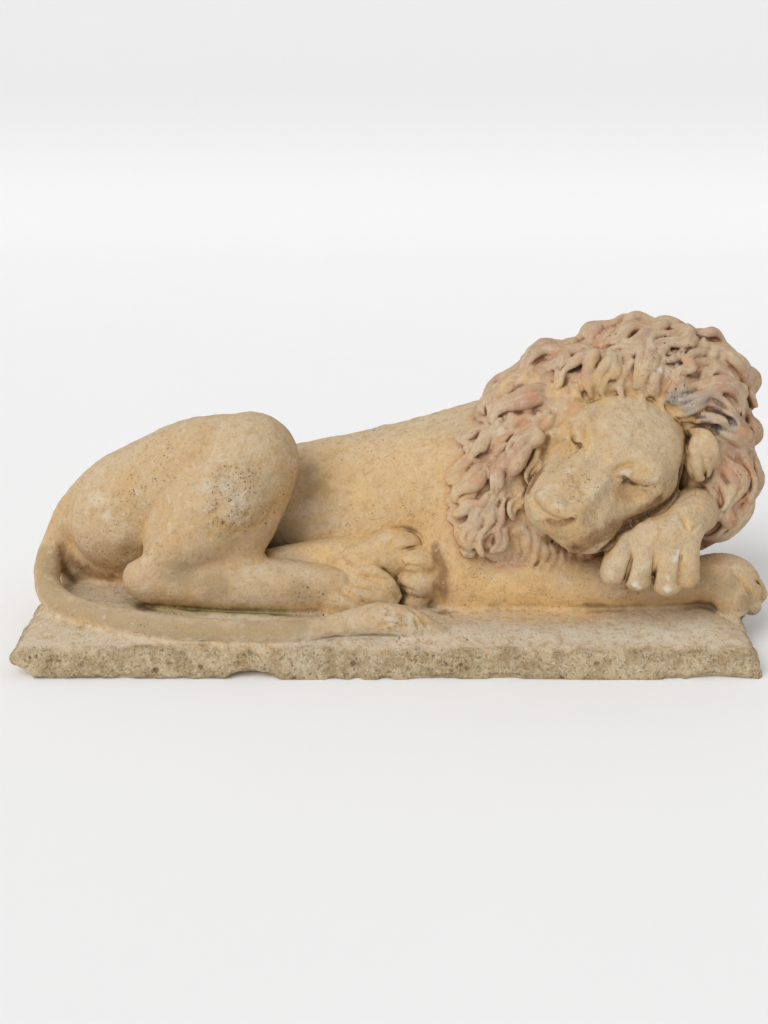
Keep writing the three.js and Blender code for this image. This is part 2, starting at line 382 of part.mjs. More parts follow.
function mane() {
  let n = 0, row = 0;
  for (let t = FLOW.rows[0]; t < FLOW.rows[1]; t += FLOW.rows[2], row++)
    for (let s = FLOW.across[0] + ((row % 2) * FLOW.across[2]) / 2; s < FLOW.across[1]; s += FLOW.across[2]) {
      n++;
      const s1 = s + (chance(n) - 0.5) * 9, t1 = t + (chance(n + 300) - 0.5) * 9;
      const p = dropOnCoat(s1, t1);
      if (Math.abs(p[0] - s1) + Math.abs(dot(p, SHEET_UP) - t1) >= 6 || p[1] >= 75) continue;
      if (s1 <= FLOW.edge[0] + Math.max(0, t1 - FLOW.edge[1]) * FLOW.edge[2]) continue;
      const h = flow(s1, t1) + (chance(n + 600) - 0.5) * 30, w = FLOW.sway * (n % 2 ? 1 : -1);
      lock(p, FLOW.length * (0.8 + 0.4 * chance(n + 900)), onSheet(h - w, h + w, 0), FLOW.width, FLOW.rise * (0.7 + 0.6 * chance(n + 1200)), 1.5, 0.7, n);
    }
  n = 0;
  for (const [height, count] of BACK.rows)
    for (let j = 0; j < count; j++) {
      n++;
      const az = rad(2 + (176 * (j + 0.5)) / count + (chance(n) - 0.5) * 10), el = rad(height + (chance(n + 50) - 0.5) * 8);
      const d = [Math.cos(az) * Math.cos(el), Math.sin(az) * Math.cos(el), Math.sin(el)];
      let s = 350, p = BACK.heart;
      for (let i = 0; i < 80; i++) {
        p = add(BACK.heart, d, s);
        const f = coatAt(p);
        if (f < 0.4) break;
        s -= f * 0.8;
      }
      if (p[0] < BACK.from) continue;
      const sway = n % 2 ? BACK.sway : -BACK.sway;
      const down = (t, out) => {
        const g = [0, 0.25, -1];
        return turn(unit(add(g, out, -dot(g, out))), out, sway * Math.cos(2 * Math.PI * t * 0.8));
      };
      lock(p, BACK.length * (0.85 + 0.3 * chance(n + 90)), down, BACK.width, BACK.rise, 1, 0.8, n);
    }
  LOCKS.forEach(([s, t, h0, h1, swing, length, width, rise, lift], i) =>
    lock(dropOnCoat(s, t), length, onSheet(h0, h1, swing, h1 > h0 ? CURL : -CURL), width, rise, lift * 0.8, 1, i * 2.4, 13));
}

// ---------------------------------------------------------------- build up the figure
slab();
for (const [name, blend, masses] of FORM) {
  const made = group(blend, () => (masses === "MANE" ? MANE : masses).forEach(mass));
  if (COAT.includes(name)) for (let i = 0; i < made.length; i++) coat[i] = soft(coat[i], made[i], 12);
}
group(9, face);
group(4, () => EAR.forEach(mass));
mane();
for (const [kind, points, k] of STROKES) tube(points, k, 4, kind === "groove" ? k + 2 * STEP : FAR / 2, kind === "groove");
for (const [c, r, k] of CHIPS) ell(c, r, k, undefined, undefined, true);

// Fill pockets that no air can reach, and drop specks that touch nothing.
function flood(isIn, seed) {
  const seen = new Uint8Array(field.length), stack = [seed];
  seen[seed] = 1;
  const step = [N[1] * N[2], N[2], 1];
  while (stack.length) {
    const at = stack.pop();
    const ijk = [Math.floor(at / step[0]), Math.floor(at / step[1]) % N[1], at % N[2]];
    for (let a = 0; a < 3; a++)
      for (const d of [-1, 1]) {
        if (ijk[a] + d < 0 || ijk[a] + d >= N[a]) continue;
        const to = at + d * step[a];
        if (!seen[to] && isIn(field[to])) { seen[to] = 1; stack.push(to); }
      }
  }
  return seen;
}
for (let i = 0; i < field.length; i++) if (Math.abs(field[i]) < 1e-3) field[i] = 1e-3;
const air = flood((v) => v > 0, 0);
for (let i = 0; i < field.length; i++) if (field[i] > 0 && !air[i]) field[i] = -1;
const body = flood((v) => v < 0, AT(Math.round(-LO[0] / STEP), Math.round(-LO[1] / STEP), Math.round((10 - LO[2]) / STEP)));
for (let i = 0; i < field.length; i++) if (field[i] < 0 && !body[i]) field[i] = 1;

// ---------------------------------------------------------------- closed skin
// Each cell is split into six tetrahedra along its diagonal, so the skin has no
// openings and no doubled edges.
function skin() {
  const verts = [], faces = [], made = new Map();
  const off = [0, 1, 2, 3, 4, 5, 6, 7].map((c) => AT(c & 1, (c >> 1) & 1, (c >> 2) & 1));
  const place = (i, j, k, c) => [i + (c & 1), j + ((c >> 1) & 1), k + ((c >> 2) & 1)];
  const tets = [[0, 1, 3, 7], [0, 1, 5, 7], [0, 2, 3, 7], [0, 2, 6, 7], [0, 4, 5, 7], [0, 4, 6, 7]];
  for (let i = 0; i < N[0] - 1; i++)
    for (let j = 0; j < N[1] - 1; j++)
      for (let k = 0; k < N[2] - 1; k++) {
        const base = AT(i, j, k);
        let inside = 0;
        for (let c = 0; c < 8; c++) if (field[base + off[c]] < 0) inside++;
        if (inside === 0 || inside === 8) continue;
        const cut = (a, b) => {
          if (a > b) [a, b] = [b, a];
          const key = (base + off[a]) * 8 + (b - a);
          let id = made.get(key);
          if (id === undefined) {
            const fa = field[base + off[a]], fb = field[base + off[b]];
            const t = Math.min(0.92, Math.max(0.08, fa / (fa - fb)));
            const pa = place(i, j, k, a), pb = place(i, j, k, b);
            id = verts.length;
            verts.push([0, 1, 2].map((x) => LO[x] + STEP * (pa[x] + (pb[x] - pa[x]) * t)));
            made.set(key, id);
          }
          return id;
        };
        const emit = (tri, from, to) => {
          const [a, b, c] = tri.map((v) => verts[v]);
          const n = cross(add(b, a, -1), add(c, a, -1));
          const f = place(i, j, k, from), t = place(i, j, k, to);
          faces.push(dot(n, add(t, f, -1)) >= 0 ? tri : [tri[0], tri[2], tri[1]]);
        };
        for (const tet of tets) {
          const neg = tet.filter((c) => field[base + off[c]] < 0), pos = tet.filter((c) => field[base + off[c]] >= 0);
          if (neg.length === 1) emit(pos.map((c) => cut(neg[0], c)), neg[0], pos[0]);
          else if (neg.length === 3) emit(neg.map((c) => cut(c, pos[0])), neg[0], pos[0]);
          else if (neg.length === 2) {
            const q = [cut(neg[0], pos[0]), cut(neg[0], pos[1]), cut(neg[1], pos[1]), cut(neg[1], pos[0])];
            const way = (tri) => {
              const [a, b, c] = tri.map((v) => verts[v]);
              return dot(cross(add(b, a, -1), add(c, a, -1)), add(add(place(i, j, k, pos[0]), place(i, j, k, pos[1])), add(place(i, j, k, neg[0]), place(i, j, k, neg[1])), -1));
            };
            const flip = way([q[0], q[1], q[2]]) + way([q[0], q[2], q[3]]) < 0;
            faces.push(flip ? [q[0], q[2], q[1]] : [q[0], q[1], q[2]], flip ? [q[0], q[3], q[2]] : [q[0], q[2], q[3]]);
          }
        }
      }
  return { verts, faces };
}

// Thin the skin: the edge whose loss bends it least goes first, never one whose
// loss would pinch the skin or turn a facet over.
function thin({ verts, faces }, target) {
  const Q = verts.map(() => new Float64Array(10));
  const around = verts.map(() => new Set());
  const alive = faces.map(() => true), stamp = new Int32Array(verts.length), gone = new Uint8Array(verts.length);
  const normal = (f, id, at) => {
    const [a, b, c] = f.map((v) => (v === id ? at : verts[v]));
    return cross(add(b, a, -1), add(c, a, -1));
  };
  faces.forEach((f, i) => {
    const n = normal(f), l = Math.hypot(...n) || 1e-12;
    const [a, b, c] = n.map((v) => v / l), d = -dot([a, b, c], verts[f[0]]);
    const m = [a * a, a * b, a * c, a * d, b * b, b * c, b * d, c * c, c * d, d * d];
    f.forEach((v) => { around[v].add(i); for (let x = 0; x < 10; x++) Q[v][x] += m[x] * l; });
  });
  const error = (q, [x, y, z]) => q[0] * x * x + 2 * q[1] * x * y + 2 * q[2] * x * z + 2 * q[3] * x + q[4] * y * y + 2 * q[5] * y * z + 2 * q[6] * y + q[7] * z * z + 2 * q[8] * z + q[9];
  const best = (u, v) => {
    const q = Q[u].map((x, i) => x + Q[v][i]);
    const mid = add(verts[u], verts[v]).map((x) => x / 2);
    const [a, b, c, e, f, h] = [q[0], q[1], q[2], q[4], q[5], q[7]];
    const det = a * (e * h - f * f) - b * (b * h - f * c) + c * (b * f - e * c);
    let p = mid;
    if (Math.abs(det) > 1e-3 * (a + e + h) ** 3 / 27) {
      const [x, y, z] = [-q[3], -q[6], -q[8]];
      const s = [x * (e * h - f * f) - b * (y * h - f * z) + c * (y * f - e * z), a * (y * h - f * z) - x * (b * h - f * c) + c * (b * z - y * c), a * (e * z - y * f) - b * (b * z - y * c) + x * (b * f - e * c)].map((w) => w / det);
      if (Math.hypot(...add(s, mid, -1)) < 2 * Math.hypot(...add(verts[u], verts[v], -1))) p = s;
    }
    const len = Math.hypot(...add(verts[u], verts[v], -1));
    return [Math.max(error(q, p), 0) + 1e-4 * len ** 4, p];
  };
  const heap = [];
  const push = (e) => {
    let i = heap.length;
    heap.push(e);
    while (i) { const p = (i - 1) >> 1; if (heap[p][0] <= e[0]) break; heap[i] = heap[p]; i = p; }
    heap[i] = e;
  };
  const pop = () => {
    const top = heap[0], e = heap.pop();
    if (heap.length) {
      let i = 0;
      for (;;) {
        let c = 2 * i + 1;
        if (c >= heap.length) break;
        if (c + 1 < heap.length && heap[c + 1][0] < heap[c][0]) c++;
        if (heap[c][0] >= e[0]) break;
        heap[i] = heap[c];
        i = c;
      }
      heap[i] = e;
    }
    return top;
  };
  const queue = (u, v) => { const [c, p] = best(u, v); push([c, u, v, stamp[u], stamp[v], p]); };
  const near = (v) => { const s = new Set(); around[v].forEach((f) => faces[f].forEach((w) => w !== v && s.add(w))); return s; };
  faces.forEach((f) => f.forEach((u, i) => { const v = f[(i + 1) % 3]; if (u < v) queue(u, v); }));
  let count = faces.length;
  while (count > target && heap.length) {
    const [, u, v, su, sv, p] = pop();
    if (gone[u] || gone[v] || stamp[u] !== su || stamp[v] !== sv) continue;
    const nu = near(u), nv = near(v);
    let shared = 0;
    nu.forEach((w) => nv.has(w) && shared++);
    if (shared !== 2 || nu.size + nv.size - 4 > 14) continue;
    let good = true;
    for (const [w, o] of [[u, v], [v, u]])
      for (const f of around[w]) {
        if (faces[f].includes(o)) continue;
        const a = normal(faces[f]), b = normal(faces[f], w, p);
        const la = Math.hypot(...a), lb = Math.hypot(...b);
        if (lb < 0.2 || dot(a, b) < 0.35 * la * lb) { good = false; break; }
      }
    if (!good) continue;
    verts[u] = p;
    for (let x = 0; x < 10; x++) Q[u][x] += Q[v][x];
    for (const f of around[v]) {
      if (faces[f].includes(u)) { alive[f] = false; count--; faces[f].forEach((w) => w !== v && around[w].delete(f)); }
      else { faces[f] = faces[f].map((w) => (w === v ? u : w)); around[u].add(f); }
    }
    gone[v] = 1;
    stamp[u]++;
    near(u).forEach((w) => queue(Math.min(u, w), Math.max(u, w)));
  }
  const id = new Int32Array(verts.length).fill(-1), out = [], tris = [];
  faces.forEach((f, i) => { if (alive[i]) tris.push(f.map((v) => { if (id[v] < 0) { id[v] = out.length; out.push(verts[v]); } return id[v]; })); });
  return { verts: out, faces: tris };
}

// ---------------------------------------------------------------- saw the underside flat
const wasm = await Module();
wasm.setup();
const solid = (positions, index) => new wasm.Manifold(new wasm.Mesh({ numProp: 3, vertProperties: Float32Array.from(positions), triVerts: Uint32Array.from(index) }));
function boxSolid(size, at) {
  // a closed box with its eight corners shared
  const g = new THREE.BoxGeometry(...size);
  const p = g.attributes.position, seen = new Map(), pos = [], map = [];
  for (let i = 0; i < p.count; i++) {
    const v = [p.getX(i), p.getY(i), p.getZ(i)].map((x, a) => x + at[a]);
    const key = v.join();
    if (!seen.has(key)) { seen.set(key, pos.length / 3); pos.push(...v); }
    map.push(seen.get(key));
  }
  return solid(pos, Array.from(g.index.array, (i) => map[i]));
}
const lion = thin(skin(), FACETS);
const sawn = solid(lion.verts.flat(), lion.faces.flat()).subtract(boxSolid([1000, 600, 60], [0, 0, -30]));
const cutMesh = sawn.getMesh();

const geometry = new THREE.BufferGeometry();
const positions = new Float32Array((cutMesh.vertProperties.length / cutMesh.numProp) * 3);
for (let i = 0; i < positions.length / 3; i++)
  for (let a = 0; a < 3; a++) positions[i * 3 + a] = cutMesh.vertProperties[i * cutMesh.numProp + a];
geometry.setAttribute("position", new THREE.BufferAttribute(positions, 3));
geometry.setIndex(new THREE.BufferAttribute(new Uint32Array(cutMesh.triVerts), 1));
geometry.computeVertexNormals();

const piece = new THREE.Mesh(geometry, new THREE.MeshStandardMaterial(STONE));
piece.name = "sleeping_lion";
const group_ = new THREE.Group();
group_.add(piece);
export default group_;
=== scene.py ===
"""Sleeping lion, one casting with its slab: fine relief, stone, stage and camera."""
import math

import bpy
import numpy as np
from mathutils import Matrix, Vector


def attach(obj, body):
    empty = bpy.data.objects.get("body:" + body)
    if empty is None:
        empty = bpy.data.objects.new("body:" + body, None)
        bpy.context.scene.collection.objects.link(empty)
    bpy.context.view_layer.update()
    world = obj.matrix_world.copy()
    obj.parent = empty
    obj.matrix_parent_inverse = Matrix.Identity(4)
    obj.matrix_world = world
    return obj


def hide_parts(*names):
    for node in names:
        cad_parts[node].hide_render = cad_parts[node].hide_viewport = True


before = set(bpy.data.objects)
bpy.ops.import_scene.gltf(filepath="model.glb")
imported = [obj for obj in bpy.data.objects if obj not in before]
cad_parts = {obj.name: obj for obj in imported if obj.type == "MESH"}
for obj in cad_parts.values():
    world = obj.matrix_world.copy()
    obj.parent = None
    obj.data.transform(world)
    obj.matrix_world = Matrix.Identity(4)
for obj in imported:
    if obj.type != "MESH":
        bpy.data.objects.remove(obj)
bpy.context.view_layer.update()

# ---------------------------------------------------------------- named sizes (millimetres)
STEP = 1.7                                   # spacing of the field the skin is taken from
LO, HI = (-412.5, -174.5, -7.5), (452, 180, 372)
FACETS, PLAIN_FACETS = 198000, 70000          # triangles in all, and left on the plain parts
# view
FOCAL_PX, PITCH = 1450, math.radians(18.031)
EYE = (0, -1.56715, 0.64314)
# light
WORLD = 0.545
KEY, KEY_SPREAD, KEY_FROM = 1.46, 40, (-1.0, -1.1, 1.4)
FILL, FILL_SPREAD, FILL_FROM = 0.48, 60, (-0.6, -1.0, 0.35)
CRUMBS = 120                                 # small breaks along the slab's edges

PLINTH=dict(half=(403,166),top=40,batter=(0.20,0.22),edge=13,droop=7,reach=34)
# name, blend into what is there, masses
FORM=[
 ("trunk",12,[
  ("tube","back",[(-302,70,110,55),(-201,75,120,60),(-100,80,126,64),(19,70,138,78),(136,60,159,90)],20),
  ("ell","belly",(-11,45,84),(110,60,60),30),
  ("ell","shoulder",(98,12,129),(60,52,88),30,(1,0,.2)),
  ("tube","upper arm",[(108,-5,149,45),(86,-18,94,44),(84,-28,59,34)],20),
  ("ell","chest",(180,20,117),(90,70,80),30),
  ("tube","far flank",[(-250,84,74,46),(-130,92,72,50),(0,90,78,56),(130,82,88,62),(215,70,92,60)],30),
  ("tube","far foreleg",[(190,84,92,50),(270,86,84,40),(335,62,92,34),(362,18,122,30)],24)]),
 ("hindquarters",8,[
  ("ell","rump",(-306,40,110),(60,62,58),20),
  ("ell","seat",(-318,58,54),(58,44,34),14),
  ("ell","hip",(-252,50,149),(58,55,50),30),
  ("tube","thigh",[(-284,28,136,62),(-213,0,183,57),(-147,-15,205,47)],25),
  ("tube","shank",[(-147,-17,202,48),(-188,-35,153,55),(-259,-50,79,26)],8),
  ("tube","shin",[(-129,-12,192,30),(-136,-22,154,28),(-163,-38,103,28)],20),
  ("ell","far thigh",(-233,70,50),(100,70,50),20),
  ("ell","tail root",(-338,88,66),(42,46,54),34),
  ("ell","tail web",(-363,54,58),(25,40,36),10)]),
 ("near hind foot",11,[
  ("tube","foot",[(-263,-54,72,26),(-206,-52,67,31),(-139,-54,64,32),(-76,-58,62,28),(-54,-60,62,21)],10),
  ("tube","toe 1",[(-43,-46,76,9),(-15,-64,84,8.5),(4,-71,75,7.5),(15,-72,58,6)],5),
  ("tube","toe 2",[(-46,-52,67,9),(-18,-73,71,8.5),(0,-80,64,7.5),(11,-81,53,6)],5),
  ("tube","toe 3",[(-56,-58,57,9),(-29,-81,65,8.5),(-10,-87,60,7.5),(2,-88,53,6)],5),
  ("tube","toe 4",[(-76,-62,50,9),(-50,-85,57,8.5),(-37,-91,55,7.5),(-26,-92,48,6)],5),
  ("ell","ball of the foot",(-30,-74,46),(38,22,14),8)]),
 ("far hind foot",4,[
  ("tube","foot",[(-164,-20,65,22),(-107,-20,74,25),(-50,-18,79,29),(13,-14,75,31)],10),
  ("ell","sole pad",(-11,-43,88),(38,17,25),6),
  ("ell","toe pad 1",(13,-30,108),(29,21,13.5),9,(1,0,-.10)),
  ("ell","toe pad 2",(37,-41,91),(26,26,15),2.5),
  ("ell","toe pad 3",(38,-46,68),(25,28,19),2.5,(1,0,.1)),
  ("ell","toe pad 4",(29,-50,45),(21,24,16),2.5,(1,0,.2))]),
 ("tail",9,[
  ("tube","tail",[(-309,45,153,34),(-351,46,123,27),(-377,40,92,19),(-389,16,67,16),(-381,-28,51,15),(-350,-75,48.5,15),(-303,-109,48.5,13.8),(-240,-132,47.5,12.8),(-164,-141,46.5,11.6),(-89,-140,46.5,10.8),(-34,-131,52.5,11)],10),
  ("tube","tuft",[(-42,-131,51,11.5),(-4,-127,54,18),(30,-127,49,15.5),(60,-128,41,5)],8)]),
 ("near foreleg",13,[
  ("tube","forearm",[(80,-30,59,36),(153,-40,62,31),(231,-45,65,30),(309,-45,66,28),(359,-45,70,25)],10),
  ("ell","paw",(386,-45,65),(38,32,31),12,(1,0,-.55)),
  ("tube","toe 1",[(381,-35,70,16),(416,-20,51,15),(426,-20,41,12.5)],5),
  ("tube","toe 2",[(378,-49,69,16),(402,-48,49,15),(412,-48,40,12.5)],5),
  ("tube","toe 3",[(375,-63,68,16),(382,-68,52,15),(391,-68,43,12.5)],5)]),
 ("mane mass",12,"MANE"),
 ("far forepaw",6,[
  ("tube","wrist",[(375,50,131,34),(361,0,141,30),(341,-50,149,26),(326,-74,146,23)],10),
  ("ell","behind the cheek",(322,36,131),(32,50,38),18),
  ("ell","back of paw",(294,-88,130),(48,28,27),12,(1,0,.25)),
  ("tube","toe 1",[(261,-88,130,15),(252,-106,117,15),(246,-106,99,13.8)],3),
  ("tube","toe 2",[(282,-88,132,16.5),(276,-106,116,16.5),(273,-106,94,15.2)],3),
  ("tube","toe 3",[(306,-88,134,16.5),(304,-106,115,16.5),(305,-106,88,15.2)],3),
  ("tube","toe 4",[(328,-88,134,13.5),(325,-106,117,13.5),(327,-106,94,12.4)],3)]),
]
MANE=[("ell","crown",(291,58,250),(102,74,84),30,(1,0,.06)),
      ("ell","crest",(193,50,240),(62,62,60),30,(1,0,.35)),
      ("ell","near side",(148,22,186),(42,58,78),30,(1,0,0),(.25,0,1)),
      ("ell","near side low",(122,-12,130),(33,36,40),30),
      ("ell","far side",(364,40,217),(38,66,90),30,(1,0,0),(-.1,0,1)),
      ("ell","far side low",(372,10,156),(32,48,47),30),
      ("ell","neck",(211,55,167),(96,80,96),30),
      ("tube","fringe",[(188,-18,232,12),(198,-9,252,14),(218,-1,272,15),(247,2,286,15),(277,-2,291,15),(305,-5,284,15),(330,-8,266,13)],14)]
# head frame: forward along the muzzle, left = the lion's left, up = out of the forehead
HEAD=dict(at=(242,-72,222),forward=(-.5776,-.7445,-.3348),left=(.7913,-.4097,-.4539),up=(.2007,-.5271,.8257),scale=1.10)
# kind, name, place f,l,u, radii, blend, axis f,l,u ; the last number is 1 where it sits on both sides of the face
FACE=[
 ("ell","cranium",(-48,0,-31),(70,66,52),20,(1,0,0),0),
 ("ell","forehead",(-44,0,-9),(54,56,25),30,(1,0,-.25),0),
 ("tube","bridge",[(-34,12,-6,20),(6,13,-13,20),(42,12,-20,20),(68,11,-26,18)],12,None,1),
 ("ell","muzzle",(42,0,-46),(46,46,34),20,(1,0,0),0),
 ("ell","throat",(-20,0,-70),(55,45,30),20,(1,0,0),0),
 ("ell","lip pad",(54,22,-47),(32,26,27),12,(1,0,0),1),
 ("ell","muzzle side",(14,30,-54),(48,24,33),18,(1,0,0),1),
 ("ell","cheek",(-24,47,-60),(46,31,43),20,(1,0,0),1),
 ("cut","socket",(8,36,-10),(12,14,4),10,(1,0,0),1),
 ("ell","brow",(-26,34,-3),(19,29,13),16,(-.35,1,-.05),1),
 ("ell","lid",(-8,40,-17),(15,21,14),6,(1,.2,0),1),
 ("ell","nose",(75,0,-25),(14,28,12),10,(1,0,0),0),
 ("ell","nose front",(78,0,-35),(12,16,14),10,(1,0,0),0),
 ("tube","jaw",[(0,0,-70,34),(32,0,-72,24),(50,0,-68,17)],10,None,0),
]
EAR=[("ell","ear",(345,-46,212),(16,15,29),6,(1,0,0),(.1,0,1))]
# locks on the near face of the mane, laid out on a sheet tilted toward the viewer:
# across, up, heading at root, at tip, swing between (deg), length, width, strands, rise
LOCKS = [
    (177,295,-176,-139,22,90,32.7,2,12,2), (214,312,-164,-163,-3,57,30.0,2,14,3), (226,317,-156,-167,-1,37,18.3,2,10,2),
    (319,333,172,190,-1,58,31.6,3,12,3), (257,331,-151,-153,-7,38,23.6,2,12,2), (306,335,-7,-119,-41,64,22.2,2,12,3),
    (337,328,-19,-49,9,53,31.9,3,14,4), (343,327,-24,-94,34,59,21.2,2,12,3), (228,296,135,217,18,84,35.4,3,14,5),
    (213,299,-125,-103,-2,35,17.9,2,12,5), (225,316,31,-74,39,62,25.0,2,13,4), (302,319,165,218,3,54,22.0,2,14,5), (306,310,177,229,5,59,21.8,2,14,6),
    (310,302,-171,-127,-2,41,16.9,2,13,7), (315,294,-169,-101,4,62,26.6,3,12,6), (351,317,-153,-126,2,78,32.3,3,16.9,4),
    (358,306,-119,-149,0,67,27.0,3,15.6,6), (253,292,139,251,29,67,15.9,2,14,8), (261,284,-163,-114,1,34,15.2,2,10,5),
    (214,278,-124,-161,4,33,16.2,2,11,4), (232,277,-138,-117,-2,31,15.1,2,9,4), (278,298,-147,-95,-4,42,16.2,2,11,5),
    (185,279,179,208,1,50,20.5,3,10,3), (193,265,176,212,1,38,17.8,2,9,3), (360,300,23,-64,-31,61,23.3,2,15.6,3),
    (391,291,-73,-81,8,49,27.7,2,19.5,3), (395,280,-80,-80,1,39,17.5,2,15.6,5), (309,247,45,-48,-3,105,22.6,2,13,5),
    (318,239,36,-58,-3,82,19.0,2,13,6), (322,236,20,-52,-6,57,16.4,2,12,7), (401,240,-129,-86,0,53,22.5,2,18.2,4),
    (365,220,-23,-130,14,103,23.2,2,15.6,4), (401,207,-87,-93,6,69,23.2,2,16.9,3), (370,185,-50,-115,-6,60,20.7,2,15.6,4),
    (396,153,-66,-124,-19,73,25.3,3,15.6,3), (371,147,-67,-107,1,46,17.1,2,13.0,3), (155,264,146,231,33,55,24.9,2,13,3),
    (142,249,-124,-143,-1,32,24.4,3,12,3), (191,241,142,245,2,83,24.1,2,14,5), (186,233,-135,-221,4,31,17.6,2,12,4),
    (134,224,-124,-170,-5,54,18.7,2,12,4), (181,219,-176,-113,-1,57,20.1,2,13,5), (138,204,-171,-153,1,54,16.7,2,12,3),
    (179,208,-165,-118,12,85,21.1,2,13,5), (174,199,-133,-89,3,50,16.6,2,12,4), (147,183,-149,-116,4,53,19.1,2,13,4),
    (124,169,-176,-124,9,58,21.5,2,13,3), (116,144,-138,-169,1,41,18.5,2,12,4), (114,134,-131,-145,-1,40,18.5,3,12,4),
    (130,147,-129,-99,4,74,22.0,3,12,4), (106,114,-140,-95,3,39,16.5,2,12,3), (136,119,-113,-123,1,43,16.6,2,12,4),
    (156,149,-142,-98,-3,37,16.1,2,12,4),
]
SHEET_UP=(0,.3095,.9509)
BACK=dict(heart=(285,55,203),rows=((66,5),(46,8),(27,10),(9,10),(-9,9),(-26,7)),length=78,width=40,rise=10,sway=.5)
FLOW=dict(heart=(262,215),part=65,left=(195,.35),right=(-15,.85),rows=(112,352,22),across=(92,442,25),length=58,width=26,rise=6,sway=24,edge=(158,230,.6))
# breaks in the plinth's lower edge: place, radii, blend
CHIPS=[((-412,-168,46),(34,36,24),12),((410,-168,46),(22,24,18),8),((-140,-171,-2),(30,30,11),4),((352,-167,-2),(34,12,9),5),((392,-120,2),(20,30,9),6),((-400,-152,-6),(30,34,20),8),((-312,-171,-3),(90,11,8),4),((120,-171,-4),(150,9,7),4)]

COAT=("trunk","mane mass")
